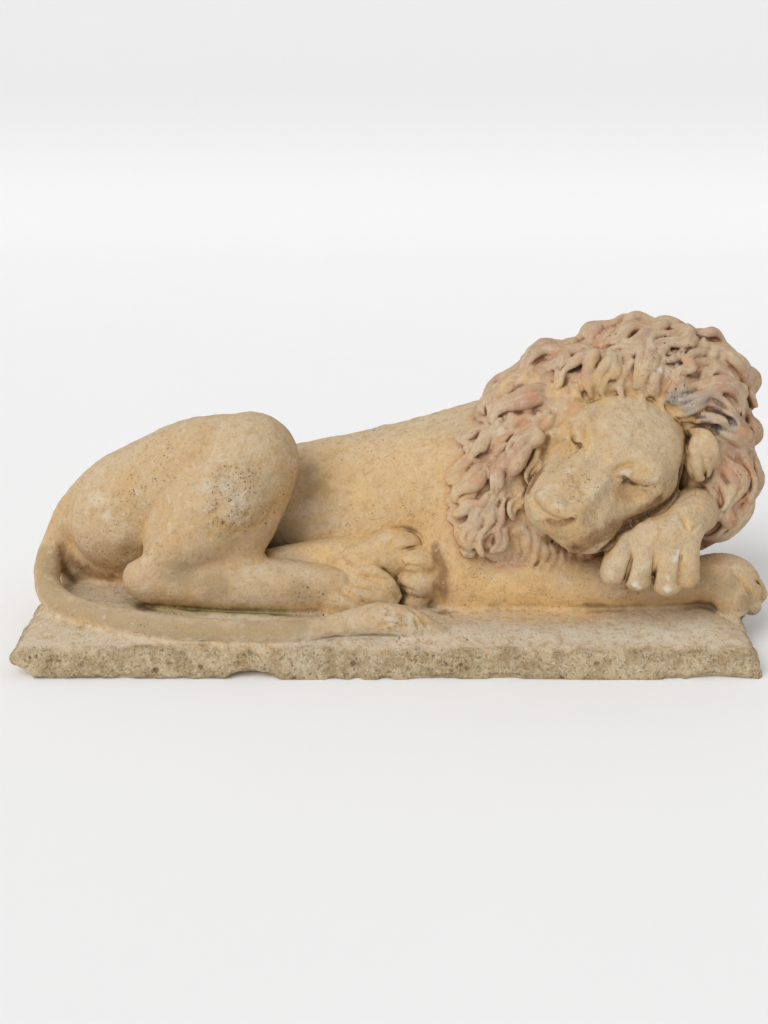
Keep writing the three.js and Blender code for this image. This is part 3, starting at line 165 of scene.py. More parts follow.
# strokes of the carving: cut grooves and raised folds, x,y,z,r along each
DETAIL = [
    ('tube','left lid',[(254.4,-90.9,207.2,5),(266.1,-86.2,203.9,8),(278.3,-87.5,200.5,8),(287.6,-87.3,198.3,5)],5),
    ('groove','left eye slit',[(242.3,-103.1,201.7,1),(247.8,-98.7,203.4,1.6),(255.2,-93.5,201.5,1.7),(264.4,-83.4,193.9,1.8),(273.1,-87.8,191.2,1.8),(280.6,-89.4,192.3,1.6),(287.3,-88.7,193.9,1)],0.8),
    ('groove','left brow shadow',[(237.3,-101.2,207.1,1.4),(244.4,-95.6,211.0,2.4),(251.5,-91.7,213.2,2.4),(261.9,-87.6,215.7,1.8),(273.2,-87.4,214.0,1)],3.5),
    ('groove','left lower fold',[(252.0,-97.1,193.2,1.2),(264.4,-86.3,184.9,1.8),(278.6,-89.2,183.4,1.8),(289.6,-88.2,186.2,1.2)],4),
    ('tube','left brow',[(241.7,-82.3,218.2,6),(247.1,-74.5,224.5,9),(256.7,-74.1,225.8,9.5),(267.3,-76.7,221.6,9),(282.1,-80.6,214.7,8),(293.8,-82.3,208.1,5)],8),
    ('tube','bridge edge',[(239.5,-89.2,212.5,5),(228.0,-104.7,198.6,7),(215.8,-119.0,186.0,7),(204.3,-130.0,176.2,6)],6),
    ('groove','bridge valley',[(246.0,-108.9,197.2,7),(236.6,-121.7,187.1,10),(225.0,-132.4,174.8,10),(217.2,-137.5,165.5,7)],9),
    ('tube','nose',[(165.4,-106.4,185.0,6),(176.5,-122.4,180.1,9),(189.2,-128.9,174.5,9),(197.4,-132.5,173.7,6)],5),
    ('tube','cheek bone',[(291.3,-81.7,185.8,6),(275.3,-77.3,176.0,10),(253.5,-91.9,169.5,7)],8),
    ('groove','under eye',[(250.4,-104.5,190.3,5),(263.8,-90.9,182.0,7),(274.7,-89.2,179.0,5)],7),
    ('tube','right brow',[(218.1,-41.9,256.3,5),(208.8,-28.3,255.9,8),(204.8,-35.4,249.5,5)],8),
    ('tube','right lid',[(209.6,-50.5,247.1,5),(209.6,-52.9,240.2,7.5),(210.9,-57.4,234.3,5)],5),
    ('groove','right eye slit',[(200.7,-48.3,239.9,1),(203.3,-52.1,234.1,1.6),(207.9,-54.5,229.7,1.7),(211.4,-65.7,229.5,1.6),(214.5,-73.1,229.9,1)],0.8),
    ('groove','right bridge edge',[(218.6,-55.2,250.1,1),(217.8,-61.2,242.7,1.8),(216.8,-66.5,235.9,2),(215.5,-74.1,230.4,1.6)],3),
    ('groove','right lid crease',[(202.2,-48.4,245.6,1),(200.9,-49.2,240.9,1.4),(200.0,-50.0,235.5,1)],2.5),
    ('groove','nostril',[(194.9,-136.3,170.6,2.2),(198.4,-136.1,172.9,1.6)],1.6),
    ('groove','nose edge',[(157.5,-106.6,175.5,3),(168.8,-125.6,170.1,4),(181.4,-134.4,166.7,4.5),(191.8,-137.9,166.8,3.5)],4),
    ('groove','philtrum',[(167.6,-120.3,166.8,1.2),(167.8,-114.9,157.4,1.4)],1.6),
    ('groove','mouth',[(155.3,-100.2,160.2,1),(160.7,-103.9,155.5,1.5),(168.0,-113.3,155.2,1.8),(173.4,-102.0,141.9,1.8),(184.3,-58.2,118.8,1.8),(194.0,-57.8,113.9,1.2)],1.6),
    ('groove','forehead furrow',[(229.7,-65.0,245.5,4),(231.1,-51.5,258.9,5),(241.6,-34.5,269.4,3)],8),
    ('groove','cheek crevice',[(231.2,-105.4,127.5,4),(240.5,-105.3,131.5,5),(250.4,-97.2,144.4,6),(275.2,-84.9,151.6,6),(301.2,-70.3,160.5,5.5),(315.4,-55.0,169.3,4.5),(319.0,-47.0,183.1,4.2),(320.5,-51.5,203.2,4.2),(332.2,-50.1,219.9,2.6)],2.5),
    ('tube','ear rim',[(337.3,-25.7,233.3,5),(344.7,-47.7,238.6,6),(353.1,-50.3,232.0,6),(357.8,-50.4,217.3,6.2),(365.1,-36.9,196.3,6.2),(362.7,-39.5,183.0,4.6)],3),
    ('tube','ear lobe',[(335.1,-53.6,222.4,5),(338.5,-57.0,214.1,6),(340.7,-56.7,202.0,6.4),(343.0,-53.4,190.0,4.6)],3),
    ('groove','ear cup',[(340.7,-59.3,224.0,1.4),(345.4,-61.0,214.7,2.4),(347.7,-59.7,200.2,2.6),(352.2,-39.1,181.4,2)],3),
    ('groove','ear fold',[(333.6,-55.6,204.8,1),(335.3,-54.5,196.0,1.6),(338.9,-48.2,185.6,1.2)],1.5),
    ('groove','wrist notch near',[(316.9,-84.9,164.9,1.2),(317.8,-93.9,160.1,2.2),(321.0,-101.2,154.1,2),(324.5,-106.1,146.7,1)],1.4),
    ('groove','wrist notch far',[(339.9,-93.6,151.6,1.2),(333.3,-100.4,149.0,1.8),(327.1,-105.6,145.1,1)],1.6),
    ('tube','wrist fold',[(320.8,-84.6,164.5,3),(331.4,-81.1,165.1,4),(342.2,-79.4,161.7,4),(348.9,-78.4,156.3,3)],2),
    ('groove','wrist crease',[(321.8,-70.2,169.6,1.2),(335.4,-61.8,174.1,1.6),(351.6,-64.4,169.2,1.2)],2),
    ('groove','wrist crease 2',[(334.0,-48.4,174.2,1),(347.2,-37.4,175.2,1.5),(356.6,-45.6,173.3,1)],2),
    ('groove','near paw toes',[(382.0,-68.0,87.6,1.2),(395.1,-73.3,76.3,2.2),(407.4,-70.4,55.8,2)],2),
    ('groove','near paw toes 2',[(399.5,-61.7,88.0,1.2),(411.4,-63.4,75.2,2),(428.4,-32.0,44.1,1.8)],2),
    ('tube','beard 1',[(152.0,-58.3,134.3,2.5),(159.1,-55.9,124.9,4.5),(158.6,-55.3,108.9,4.5),(153.7,-53.8,93.4,1.8)],1.5),
    ('tube','beard 2',[(164.8,-55.7,127.6,2.5),(170.4,-56.6,116.5,4.8),(168.3,-55.3,101.8,4.5),(161.7,-59.8,86.1,1.8)],1.5),
    ('tube','beard 3',[(175.3,-57.2,118.1,2.5),(179.4,-57.3,107.9,4.5),(177.2,-52.8,94.6,4.2),(170.6,-60.4,86.3,1.8)],1.5),
    ('tube','beard 4',[(185.7,-59.1,112.8,2.5),(189.3,-53.5,101.0,4.5),(186.9,-54.3,91.2,4),(181.0,-63.4,84.5,1.8)],1.5),
    ('tube','beard 5',[(196.7,-54.1,107.4,2.5),(198.6,-52.2,98.9,4),(195.8,-56.4,90.3,3.5),(191.1,-62.6,86.4,1.5)],1.5),
    ('tube','beard 6',[(198.3,-111.8,126.8,2.2),(206.7,-50.7,98.3,3.5),(204.9,-54.5,91.9,3),(200.2,-60.5,88.6,1.5)],1.5),
    ('tube','beard 7',[(147.1,-56.4,116.3,2.5),(148.9,-55.1,104.6,4),(146.1,-53.5,91.5,1.8)],1.5),
    ('groove','thigh crease',[(-202.1,-64.5,214.0,9),(-225.1,-70.7,190.9,12),(-244.1,-71.9,166.1,13),(-259.1,-71.2,140.8,13),(-272.7,-64.3,121.2,12),(-284.1,-28.3,87.8,9)],12),
    ('groove','toe line 1',[(-28.6,-77.0,74.3,0.9),(-13.1,-85.1,72.1,1.5),(0.0,-86.5,67.8,1.7),(7.4,-87.5,60.4,1.4)],1.5),
    ('groove','toe line 2',[(-28.1,-67.0,81.5,0.9),(-18.7,-72.5,81.2,1.3),(-6.6,-76.3,82.6,1.3),(6.6,-76.8,78.9,1)],1.5),
    ('groove','sole edge',[(-37.9,-46.7,105.0,1),(-44.1,-47.0,99.2,1.4),(-44.6,-50.4,93.3,1.4),(-41.2,-53.7,88.6,1)],2.5),
    ('groove','pad 1 edge',[(5.5,-52.1,110.1,1),(14.4,-52.5,104.9,1.7),(23.3,-49.8,105.3,1.7),(39.0,-41.7,106.4,1.2)],1.8),
    ('groove','sole front',[(13.3,-52.7,104.7,1.2),(17.9,-56.4,95.4,2),(21.2,-60.6,87.7,2.2),(18.0,-55.8,76.2,2),(14.1,-73.0,73.3,1.4)],1.8),
    ('groove','sole',[(-48.8,-38.1,100.5,1.2),(-43.5,-51.9,90.8,2),(-29.6,-64.4,86.0,1.4)],3),
    ('groove','tuft 1',[(31.3,-127.7,64.7,1.5),(34.9,-131.8,62.3,2.25),(39.2,-134.1,59.4,1.5)],1.2),
    ('groove','tuft 2',[(32.7,-138.1,58.9,1.5),(35.3,-139.7,54.0,2.55),(37.2,-140.7,48.3,1.8)],1.2),
    ('groove','tuft 3',[(41.8,-136.1,55.8,1.5),(44.9,-136.9,51.6,2.25),(47.7,-137.2,47.8,1.5)],1.2),
    ('groove','tuft 4',[(-4.2,-144.7,53.3,1.5),(6.3,-144.5,56.0,2.25),(15.9,-144.3,53.1,2.25),(24.4,-143.4,49.8,1.5)],2),
    ('groove','tuft 5',[(-0.0,-142.2,63.5,1.5),(12.7,-138.8,65.6,1.95),(24.4,-138.9,62.2,1.5)],2),
    ('groove','tuft 6',[(25.6,-126.0,67.1,1.2),(30.8,-130.9,64.4,1.8),(36.6,-133.5,60.9,1.8),(43.6,-132.6,57.8,1.2)],1.5),
    ('groove','pads 2 and 3',[(19.5,-58.6,86.9,1.2),(28.8,-65.2,91.5,1.8),(39.6,-66.4,89.8,1.8),(46.4,-63.1,85.1,1.2)],1.8),
    ('groove','pads 3 and 4',[(17.9,-62.4,67.0,1.2),(27.7,-71.3,66.9,1.8),(36.4,-72.7,62.8,1.2)],1.8),
    ('tube','foot edge',[(-264.1,-57.0,41.9,2.5),(-235.1,-72.0,39.4,4.5),(-203.7,-81.0,37.9,5.5),(-172.8,-86.0,37.5,6),(-142.2,-88.0,37.8,5.5),(-110.2,-88.0,39.1,2.5)],3),
    ('tube','fringe 1',[(287.9,-23.1,313.8,5),(280.3,-27.2,296.2,6),(281.0,-22.1,274.5,5),(283.9,-40.1,261.6,2)],2),
    ('tube','fringe 2',[(301.1,-14.9,306.1,5),(293.3,-29.2,290.3,6),(298.9,-22.8,271.4,5),(305.5,-31.1,258.3,2)],2),
    ('tube','fringe 3',[(270.9,-12.5,307.5,5),(261.4,-18.0,297.7,5.5),(257.1,-20.9,284.8,4.5),(259.9,-27.8,271.3,2)],2),
    ('tube','fringe 4',[(231.0,4.1,312.8,7),(223.4,-12.7,297.5,8),(222.1,-24.6,285.2,6),(226.8,-22.5,270.7,3)],2),
    ('tube','fringe 5',[(244.8,-15.8,311.2,6),(235.5,-19.2,297.9,6),(232.8,-22.3,284.9,4.5),(240.6,-22.7,271.7,2)],2),
    ('tube','fringe 6',[(317.8,-27.8,291.7,5),(311.2,-28.8,277.4,5),(314.2,-27.3,263.0,2)],2),
    ('tube','fringe 7',[(203.9,-14.1,284.3,4),(208.8,-25.7,276.9,5),(218.6,-25.7,266.9,2)],2),
    ('groove','face edge',[(179.4,-37.6,230.3,2),(175.3,-39.1,215.3,3.5),(168.0,-65.0,198.6,3.5),(154.4,-85.8,183.0,2.5)],3),
    ('groove','forepaw toes 1',[(264.7,-113.9,125.9,1.2),(260.7,-117.5,109.0,2.2),(259.0,-108.8,89.0,2)],1.8),
    ('groove','forepaw toes 2',[(288.1,-116.1,123.2,1.2),(287.4,-115.3,102.6,2.2),(295.7,-72.8,69.2,2)],1.8),
    ('groove','forepaw toes 3',[(315.5,-114.1,126.1,1.2),(314.7,-118.9,109.4,2.2),(315.3,-116.9,90.0,2)],1.8),
    ('groove','shoulder edge',[(57.0,-65.3,70.4,2),(59.0,-61.1,54.2,3),(54.1,-58.7,41.6,2)],4),
]

# where stains, chips and growth sit, and where shade and light are painted into the colour: x,y,z and reach
STAINS_PAINTED_SHADE_AND_LIGHT = {
    'chip': [(268,-120,90,6),(273,-119,86,5),(302,-121,85,6),(310,-120,121,5),(313,-116,126,4),(302,-123,99,3),(299,-26,303,4),(320,-11,306,4),(243,-119,99,3)],
    'grey': [(317,-31,275,14),(332,-33,276,15),(346,-38,273,15),(363,-35,263,15),(377,-33,247,14),(332,-38,259,11),(347,-42,251,12),(362,-34,241,10)],
    # amber: an orange stain on the mane and body, lightened on the forearm as painted light where the head's shade
    # falls
    'amber': [(134,3,280,15),(161,1,286,15),(188,-16,283,16),(211,-30,279,13),(173,-117,151,12),(187,-59,120,10),(-95,-24,102,18),(-74,-38,98,18),(-38,-24,108,20),(12,-31,122,22),(62,-56,95,22),(95,-68,58,22),(129,-69,55,20),(162,-70,53,20),(195,-73,57,16),(217,-78,228,8),(340,-80,167,10),(326,-105,147,12),(-27,0,147,22)],
    'rust': [(149,-30,248,12),(127,-34,227,12),(175,-35,250,10),(196,23,315,13),(240,20,321,13),(104,-58,188,12),(372,-47,197,13),(386,-53,141,13),(159,-21,274,12),(207,-37,261,10),(333,-16,312,12),(373,19,322,10),(395,6,285,10),(108,12,243,10),(394,-33,238,14),(403,-36,193,14),(398,-38,159,13),(387,-38,107,12),(367,-56,95,12),(411,13,260,12)],
    'dull': [(374,-78,74,22),(399,-75,55,18),(349,-69,77,14),(-223,-80,92,26),(-185,-83,76,24),(-92,-85,71,22)],
    # umber: painted shade under and beside the muzzle and along the cheek's crevice, partly a brown stain
    'umber': [(223,-128,146,12),(239,-117,151,13),(261,-86,150,13),(279,-77,156,12),(211,-128,138,9),(292,-79,167,9)],
    # grime: painted shade on the flank beside the thigh, in the crevice at the tail root and under the belly, partly
    # grime
    'grime': [(-83,30,174,13),(-78,20,160,14),(-87,15,145,10),(-373,13,70,16),(-354,16,54,14),(-133,27,80,10)],
    'pale': [(-192,-82,185,17),(-170,-80,193,17),(-155,-81,179,15),(-324,-19,153,16),(-305,-31,140,13),(169,-110,193,9),(179,-132,184,8),(6,-140,64,14),(28,-140,60,14),(44,-139,49,10),(196,-99,212,9),(255,-96,206,7),(288,-93,199,6),(94,-67,105,8),(116,-54,187,8),(127,-26,236,8)],
    'worn': [(-170,-81,190,30),(-150,-80,173,32),(-133,-64,151,26),(-158,-81,145,28),(-142,-71,198,24),(-176,-89,147,22),(195,-111,202,16),(205,-121,191,15),(183,-128,188,9),(215,-128,166,9),(-186,-88,170,16),(12,-143,59,12),(92,-140,35,10)],
}
# stains, painted shadow, painted shade and painted light that run along a line: reach, then the points
STAIN_LINES_PAINTED_SHADE_AND_LIGHT = {
    # dark lines: painted shadow in the crevice between cheek and paw, in the hole at the tail root and at the chin
    'dark': [(5,[(234,-102,124),(244,-98,133),(256,-92,141),(270,-82,147),(286,-73,153),(300,-65,159)]),(3.5,[(300,-65,159),(313,-54,165),(322,-44,177),(323,-47,197),(329,-47,214)]),(7,[(-372,13,67),(-368,15,54),(-362,17,44)]),(3,[(179,-58,123),(189,-60,113),(201,-125,135),(225,-119,130)])],
    'dull': [(15,[(-395,10,81),(-389,-25,66),(-372,-69,56),(-347,-95,56),(-317,-115,56),(-287,-129,55),(-259,-139,54),(-232,-146,52),(-205,-149,52),(-178,-151,51),(-152,-152,52),(-120,-151,51),(-89,-149,53)])],
    # amber line: painted light along the forearm, where the head's shade falls
    'amber': [(20,[(73,-63,84),(106,-68,67),(151,-70,56),(195,-71,51),(239,-72,52)])],
    # warm: a warm tone over the back, shoulder, flank and forearm, partly painted light that lifts the shoulder and
    # forearm where the head and mane shade them
    'warm': [(62,[(-44,20,177),(18,2,182),(62,-31,169)]),(56,[(-16,-9,126),(40,-25,120),(73,-60,97)]),(44,[(84,-67,70),(151,-70,56),(217,-72,52)]),(46,[(-60,-41,96),(7,-57,96)])],
    # umber lines: painted shade under the nose, along the face's edge, in the crevice under the cheek, at the tail
    # root, beside the far hind pads and under the chin; partly a brown stain
    'umber': [(5.5,[(171,-124,164),(184,-132,163),(197,-138,170)]),(4.5,[(180,-37,232),(175,-36,214),(168,-60,197),(154,-82,182)]),(15,[(212,-128,138),(227,-125,147),(246,-110,151),(268,-82,151),(284,-83,162),(295,-77,172)]),(8,[(-375,17,84),(-360,15,67),(-340,16,53),(-316,13,48)]),(10,[(58,-49,107),(64,-57,93),(66,-64,69),(64,-73,40)]),(13,[(181,-58,122),(194,-56,112),(206,-126,135)])],
    'moss': [(13,[(-285,-37,40),(-248,-70,47),(-209,-76,46),(-170,-80,44),(-134,-82,43),(-112,-82,44)])],
    'pale': [(26,[(93,-118,40),(146,-126,39),(210,-130,38),(274,-130,38),(340,-122,39)]),(16,[(-89,-147,36),(-26,-140,35),(38,-139,39)])],
    'beard': [(17,[(144,-58,122),(156,-59,108),(173,-56,95),(190,-59,90),(210,-60,90)]),(10,[(217,-28,286),(234,-26,294),(256,-26,299),(277,-32,296)])],
}


# ---------------------------------------------------------------- the field: masses joined softly on a grid
FAR=30.0
F4=np.float32
def unit(v):
    v=np.asarray(v,float); return v/np.linalg.norm(v)
def axes(ax=(1,0,0),up=(0,0,1)):
    a=unit(ax); u=np.asarray(up,float); u=unit(u-a*(u@a))
    return np.array([a,np.cross(u,a),u])
def turn(v,n,a):
    return v*math.cos(a)+np.cross(n,v)*math.sin(a)+n*(n@v)*(1-math.cos(a))
def chance(i):
    v=math.sin(i*12.9898+4.1414)*43758.5453; return v-math.floor(v)
def soft(a,b,k):
    h=max(k-abs(a-b),0)/k; return min(a,b)-h*h*k*.25
def curve(p,n):
    p=np.asarray(p,float)
    if len(p)==2: p=np.array([p[0],(p[0]+p[1])/2,p[1]])
    e=np.vstack([2*p[0]-p[1],p,2*p[-1]-p[-2]]); out=[]
    for i in range(len(p)-1):
        a,b,c,d=e[i:i+4]
        for t in np.linspace(0,1,n,endpoint=False):
            out.append(0.5*((2*b)+(c-a)*t+(2*a-5*b+4*c-d)*t*t+(3*b-a-3*c+d)*t**3))
    out.append(p[-1]); return np.array(out)
class Field:
    def __init__(s,lo,hi,step):
        s.h=step; s.lo=np.asarray(lo,float); s.n=np.ceil((np.asarray(hi,float)-s.lo)/step).astype(int)+1
        s.ax=[(s.lo[i]+step*np.arange(s.n[i])).astype(F4) for i in range(3)]
        s.v=np.full(s.n,FAR,F4)
    def block(s,lo,hi):
        a=np.maximum(np.floor((np.asarray(lo)-s.lo)/s.h).astype(int),0)
        b=np.minimum(np.ceil((np.asarray(hi)-s.lo)/s.h).astype(int)+1,s.n)
        if np.any(b<=a): return None
        return tuple(slice(x,y) for x,y in zip(a,b))
    def grid(s,b):
        return s.ax[0][b[0]][:,None,None],s.ax[1][b[1]][None,:,None],s.ax[2][b[2]][None,None,:]
    def put(s,b,d,k,cut=False):
        a=s.v[b]
        if cut: a=-a
        if k>0:
            h=np.maximum(F4(k)-np.abs(a-d),0)*F4(1/k); r=np.minimum(a,d)-h*h*F4(k*.25)
        else: r=np.minimum(a,d)
        s.v[b]=-r if cut else r
    def group(s,k,build):
        held=s.v; s.v=np.full(s.n,FAR,F4); build()
        made=s.v; s.v=held; s.put((slice(None),)*3,made,k); return made
    def ell(s,c,r,k,ax=(1,0,0),up=(0,0,1),cut=False):
        c=np.asarray(c,float); r=np.asarray(r,float); R=axes(ax,up)
        m=k+2*s.h if cut else FAR
        e=np.sqrt(((R*r[:,None])**2).sum(0))+m
        b=s.block(c-e,c+e)
        if b is None: return
        X,Y,Z=s.grid(b); X=X-F4(c[0]);Y=Y-F4(c[1]);Z=Z-F4(c[2]); k0=0;k1=0
        for i in range(3):
            q=(X*F4(R[i,0])+Y*F4(R[i,1]))+Z*F4(R[i,2]); q=q*q
            k0=k0+q*F4(1/r[i]**2); k1=k1+q*F4(1/r[i]**4)
        k0=np.sqrt(k0); s.put(b,k0*(k0-1)/(np.sqrt(k1)+F4(1e-6)),k,cut)
    def tube(s,pts,k,spans=6,m=FAR,cut=False):
        c=curve(pts,spans); p=c[:,:3]; r=np.maximum(c[:,3],.3)
        if cut: m=k+2*s.h
        b=s.block((p-r[:,None]).min(0)-m,(p+r[:,None]).max(0)+m)
        if b is None: return
        X,Y,Z=s.grid(b); D=np.full((X.shape[0],Y.shape[1],Z.shape[2]),9e3,F4)
        o=np.array([q.start for q in b])
        for i in range(len(p)-1):
            w=max(r[i],r[i+1])+m
            q=s.block(np.minimum(p[i],p[i+1])-w,np.maximum(p[i],p[i+1])+w)
            if q is None: continue
            l=tuple(slice(max(q[j].start-o[j],0),min(q[j].stop-o[j],D.shape[j])) for j in range(3))
            ab=p[i+1]-p[i]; l2=float(ab@ab)+1e-9
            x=X[l[0]]-F4(p[i,0]);y=Y[:,l[1]]-F4(p[i,1]);z=Z[:,:,l[2]]-F4(p[i,2])
            t=np.clip((x*F4(ab[0]/l2)+y*F4(ab[1]/l2))+z*F4(ab[2]/l2),0,1)
            d=np.sqrt((x-t*F4(ab[0]))**2+(y-t*F4(ab[1]))**2+(z-t*F4(ab[2]))**2)-(F4(r[i])+t*F4(r[i+1]-r[i]))
            D[l]=np.minimum(D[l],d)
        s.put(b,D,k,cut)
    def slab(s,half,top,below,batter,edge,droop,reach):
        X,Y,Z=s.grid((slice(None),)*3); zc=(top-below)/2; zh=(top+below)/2
        x=np.abs(X)-F4(half[0]-edge)+Z*F4(batter[0]); y=np.abs(Y)-F4(half[1]-edge)+Z*F4(batter[1]); rim=np.clip(np.maximum(x,y)/F4(reach)+1,0,1); z=np.maximum(Z-F4(zc)+F4(droop)*rim*rim,F4(zc)-Z)-F4(zh-edge)
        d=np.sqrt(np.maximum(x,0)**2+np.maximum(y,0)**2+np.maximum(z,0)**2)+np.minimum(np.maximum(np.maximum(x,y),z),0)-F4(edge)
        s.v=np.minimum(s.v,d)
    def mass(s,m):
        if m[0]=="tube": s.tube(m[2],m[3],14)
        else: s.ell(m[2],m[3],m[4],*m[5:],cut=m[0]=="cut")
def blur(v,n):
    """box mean over n cells each way: where it is below the field itself, a slit is too narrow for a chisel"""
    for a in range(3):
        t=v.copy(); m=v.shape[a]
        for i in range(1,n+1):
            lo=[slice(None)]*3; hi=[slice(None)]*3; lo[a]=slice(0,m-i); hi[a]=slice(i,m); lo=tuple(lo); hi=tuple(hi)
            t[lo]+=v[hi]; t[hi]+=v[lo]
            for e,o in ((slice(m-i,m),slice(m-1,m)),(slice(0,i),slice(0,1))):
                x=[slice(None)]*3; y=[slice(None)]*3; x[a]=e; y[a]=o; t[tuple(x)]+=v[tuple(y)]
        v=t/F4(2*n+1)
    return v
def skin(v,lo,h):
    """closed skin of a field: one point per crossed cell, one quad per crossed edge"""
    S=v<0; n=v.shape
    some=np.zeros([q-1 for q in n],bool); every=np.ones([q-1 for q in n],bool)
    for i in (0,1):
        for j in (0,1):
            for k in (0,1):
                c=S[i:n[0]-1+i,j:n[1]-1+j,k:n[2]-1+k]; some|=c; every&=c
    act=some&~every; del some,every
    ci=np.argwhere(act); idx=np.full(act.shape,-1,np.int32); idx[act]=np.arange(len(ci))
    acc=np.zeros((len(ci),3),F4); cnt=np.zeros(len(ci),F4)
    C={(i,j,k):v[ci[:,0]+i,ci[:,1]+j,ci[:,2]+k] for i in (0,1) for j in (0,1) for k in (0,1)}
    for a in range(3):
        o=[q for q in range(3) if q!=a]
        for u in (0,1):
            for w in (0,1):
                A=[0,0,0];A[o[0]]=u;A[o[1]]=w;B=list(A);B[a]=1
                fa=C[tuple(A)];fb=C[tuple(B)];m=(fa<0)!=(fb<0)
                t=np.where(m,fa/np.where(m,fa-fb,1),0)
                for q,val in ((o[0],u),(o[1],w)): acc[:,q]+=np.where(m,F4(val),0)
                acc[:,a]+=t; cnt+=m
    V=(ci+acc/cnt[:,None])*h+np.asarray(lo)
    quads=[]
    for a in range(3):
        o=[(1,2),(2,0),(0,1)][a]
        s0=[slice(None)]*3;s1=[slice(None)]*3;s0[a]=slice(0,-1);s1[a]=slice(1,None)
        p=S[tuple(s0)];q=S[tuple(s1)]; e=np.argwhere(p!=q)
        keep=np.ones(len(e),bool)
        for z in o: keep&=(e[:,z]>0)&(e[:,z]<n[z]-1)
        e=e[keep]; flip=p[e[:,0],e[:,1],e[:,2]]
        def cell(du,dv):
            c=e.copy();c[:,o[0]]-=du;c[:,o[1]]-=dv
            return idx[c[:,0],c[:,1],c[:,2]]
        Q=np.stack([cell(1,1),cell(0,1),cell(0,0),cell(1,0)],1); Q[~flip]=Q[~flip][:,::-1]
        quads.append(Q)
    return V,np.vstack(quads)


# ---------------------------------------------------------------- the lion
HF,HL,HU=(np.array(HEAD[k]) for k in ("forward","left","up"))
def inhead(v,s=1.0): return (HF*v[0]+HL*v[1]+HU*v[2])*s
def H(v): return np.array(HEAD["at"])+inhead(v,HEAD["scale"])
def face(E):
    for m in FACE:
        both=m[-1]
        for q in ((-1,1) if both else (1,)):
            fl=lambda v:(v[0],v[1]*q,v[2])
            if m[0]=="tube": E.tube([(*H(fl(p)),p[3]) for p in m[2]],m[3])
            else: E.ell(H(fl(m[2])),m[3],m[4],inhead(fl(m[5])),HU,cut=m[0]=="cut")
W=None
def mane_at(p):
    q=(p-W.lo)/W.h; i=np.minimum(np.maximum(np.floor(q).astype(int),0),W.n-2); f=np.clip(q-i,0,1)
    v=W.walk[i[0]:i[0]+2,i[1]:i[1]+2,i[2]:i[2]+2]
    v=v[0]*(1-f[0])+v[1]*f[0]; v=v[0]*(1-f[1])+v[1]*f[1]
    return float(v[0]*(1-f[2])+v[1]*f[2])
I3=np.eye(3)*3.
def mane_out(p): return unit([mane_at(p+e)-mane_at(p-e) for e in I3])
SX=np.array([1.,0,0]); SU=np.array(SHEET_UP); SI=np.cross(SU,SX)
def drop(s,t):
    p=SX*s+SU*t; p=p+SI*(-(p@SI)-260); best=(1e9,p)
    for _ in range(400):
        d=mane_at(p)
        if d<best[0]: best=(d,p)
        if d<.4: break
        p=p+SI*max(d*.6,.4)
        if p@SI>200: break
    p=best[1]
    for _ in range(4): p=p-mane_out(p)*mane_at(p)
    return p
def walk(p,length,heading,n=9):
    C=[];S=[];O=[]
    for i in range(n):
        t=i/(n-1); o=mane_out(p); p=p-o*mane_at(p); d=heading(t,o)
        C.append(p);O.append(o);S.append(np.cross(o,d)); p=p+d*(length/(n-1))
    return C,S,O
def strands(E,path,width,ns,rise,lift,k=1.6,wave=0.0,seed=0):
    """a lock: tapered strands side by side along a path over the coat, the outer ones lower, each with a tip of its own"""
    C,S,O=path; n=len(C)
    for j in range(ns):
        o=(j-(ns-1)/2); pts=[]; own=chance(seed*3.1+j*7.7); end=1-.07*own if ns>1 else 1
        for i in range(n):
            t=i/(n-1)*end; q=t*(n-1); i0=min(int(q),n-2); f=q-i0
            c,sd,ou=(A[i0]*(1-f)+A[i0+1]*f for A in (C,S,O)); u=t/end
            w=width*(.70+.30*math.sin(math.pi*min(1.05*t+.12,1)))*(1-.34*t**5)
            r=w/(2*ns)*(1.2 if ns>1 else 1.0)*(.62+.38*min(1,u*4))*(1+.14*wave*math.sin(9*t+seed))*(1-.25*u**8)
            e=(lift+rise*(.15+.85*math.sin(math.pi*min(.12+.68*t,1))))-r*.85-(abs(o)*.20*w/ns if ns>2 else 0)
            e+=rise*(.16*wave*math.sin(9*t+seed+1)+.16*math.sin(6*t+5*own+2.6*j))
            pts.append((*(c+sd*(w/ns*o*1.04*(1-.45*u**3)+.075*w*math.sin(5.5*t+2.1*j+3*own)+.26*wave*w*math.sin(8*t+seed)*min(1,3*t))+ou*e),max(r,1.1)))
        E.tube(pts,k,2,12)
def sheet_heading(h0,h1,sw,curl=0):
    def f(t,o):
        a=math.radians(h0+(h1-h0)*t+sw*math.sin(math.pi*t)+curl*max(0,(t-.6)/.4)**1.5); d=SX*math.cos(a)+SU*math.sin(a)
        return unit(d-o*(d@o))
    return f
def flow(s,t):
    F=FLOW; a=math.degrees(math.atan2(t-F["heart"][1],s-F["heart"][0]))
    if a<-90: a+=360
    if a>F["part"]: return F["left"][0]+(a-90)*F["left"][1]
    return F["right"][0]-(F["part"]-a)*F["right"][1]
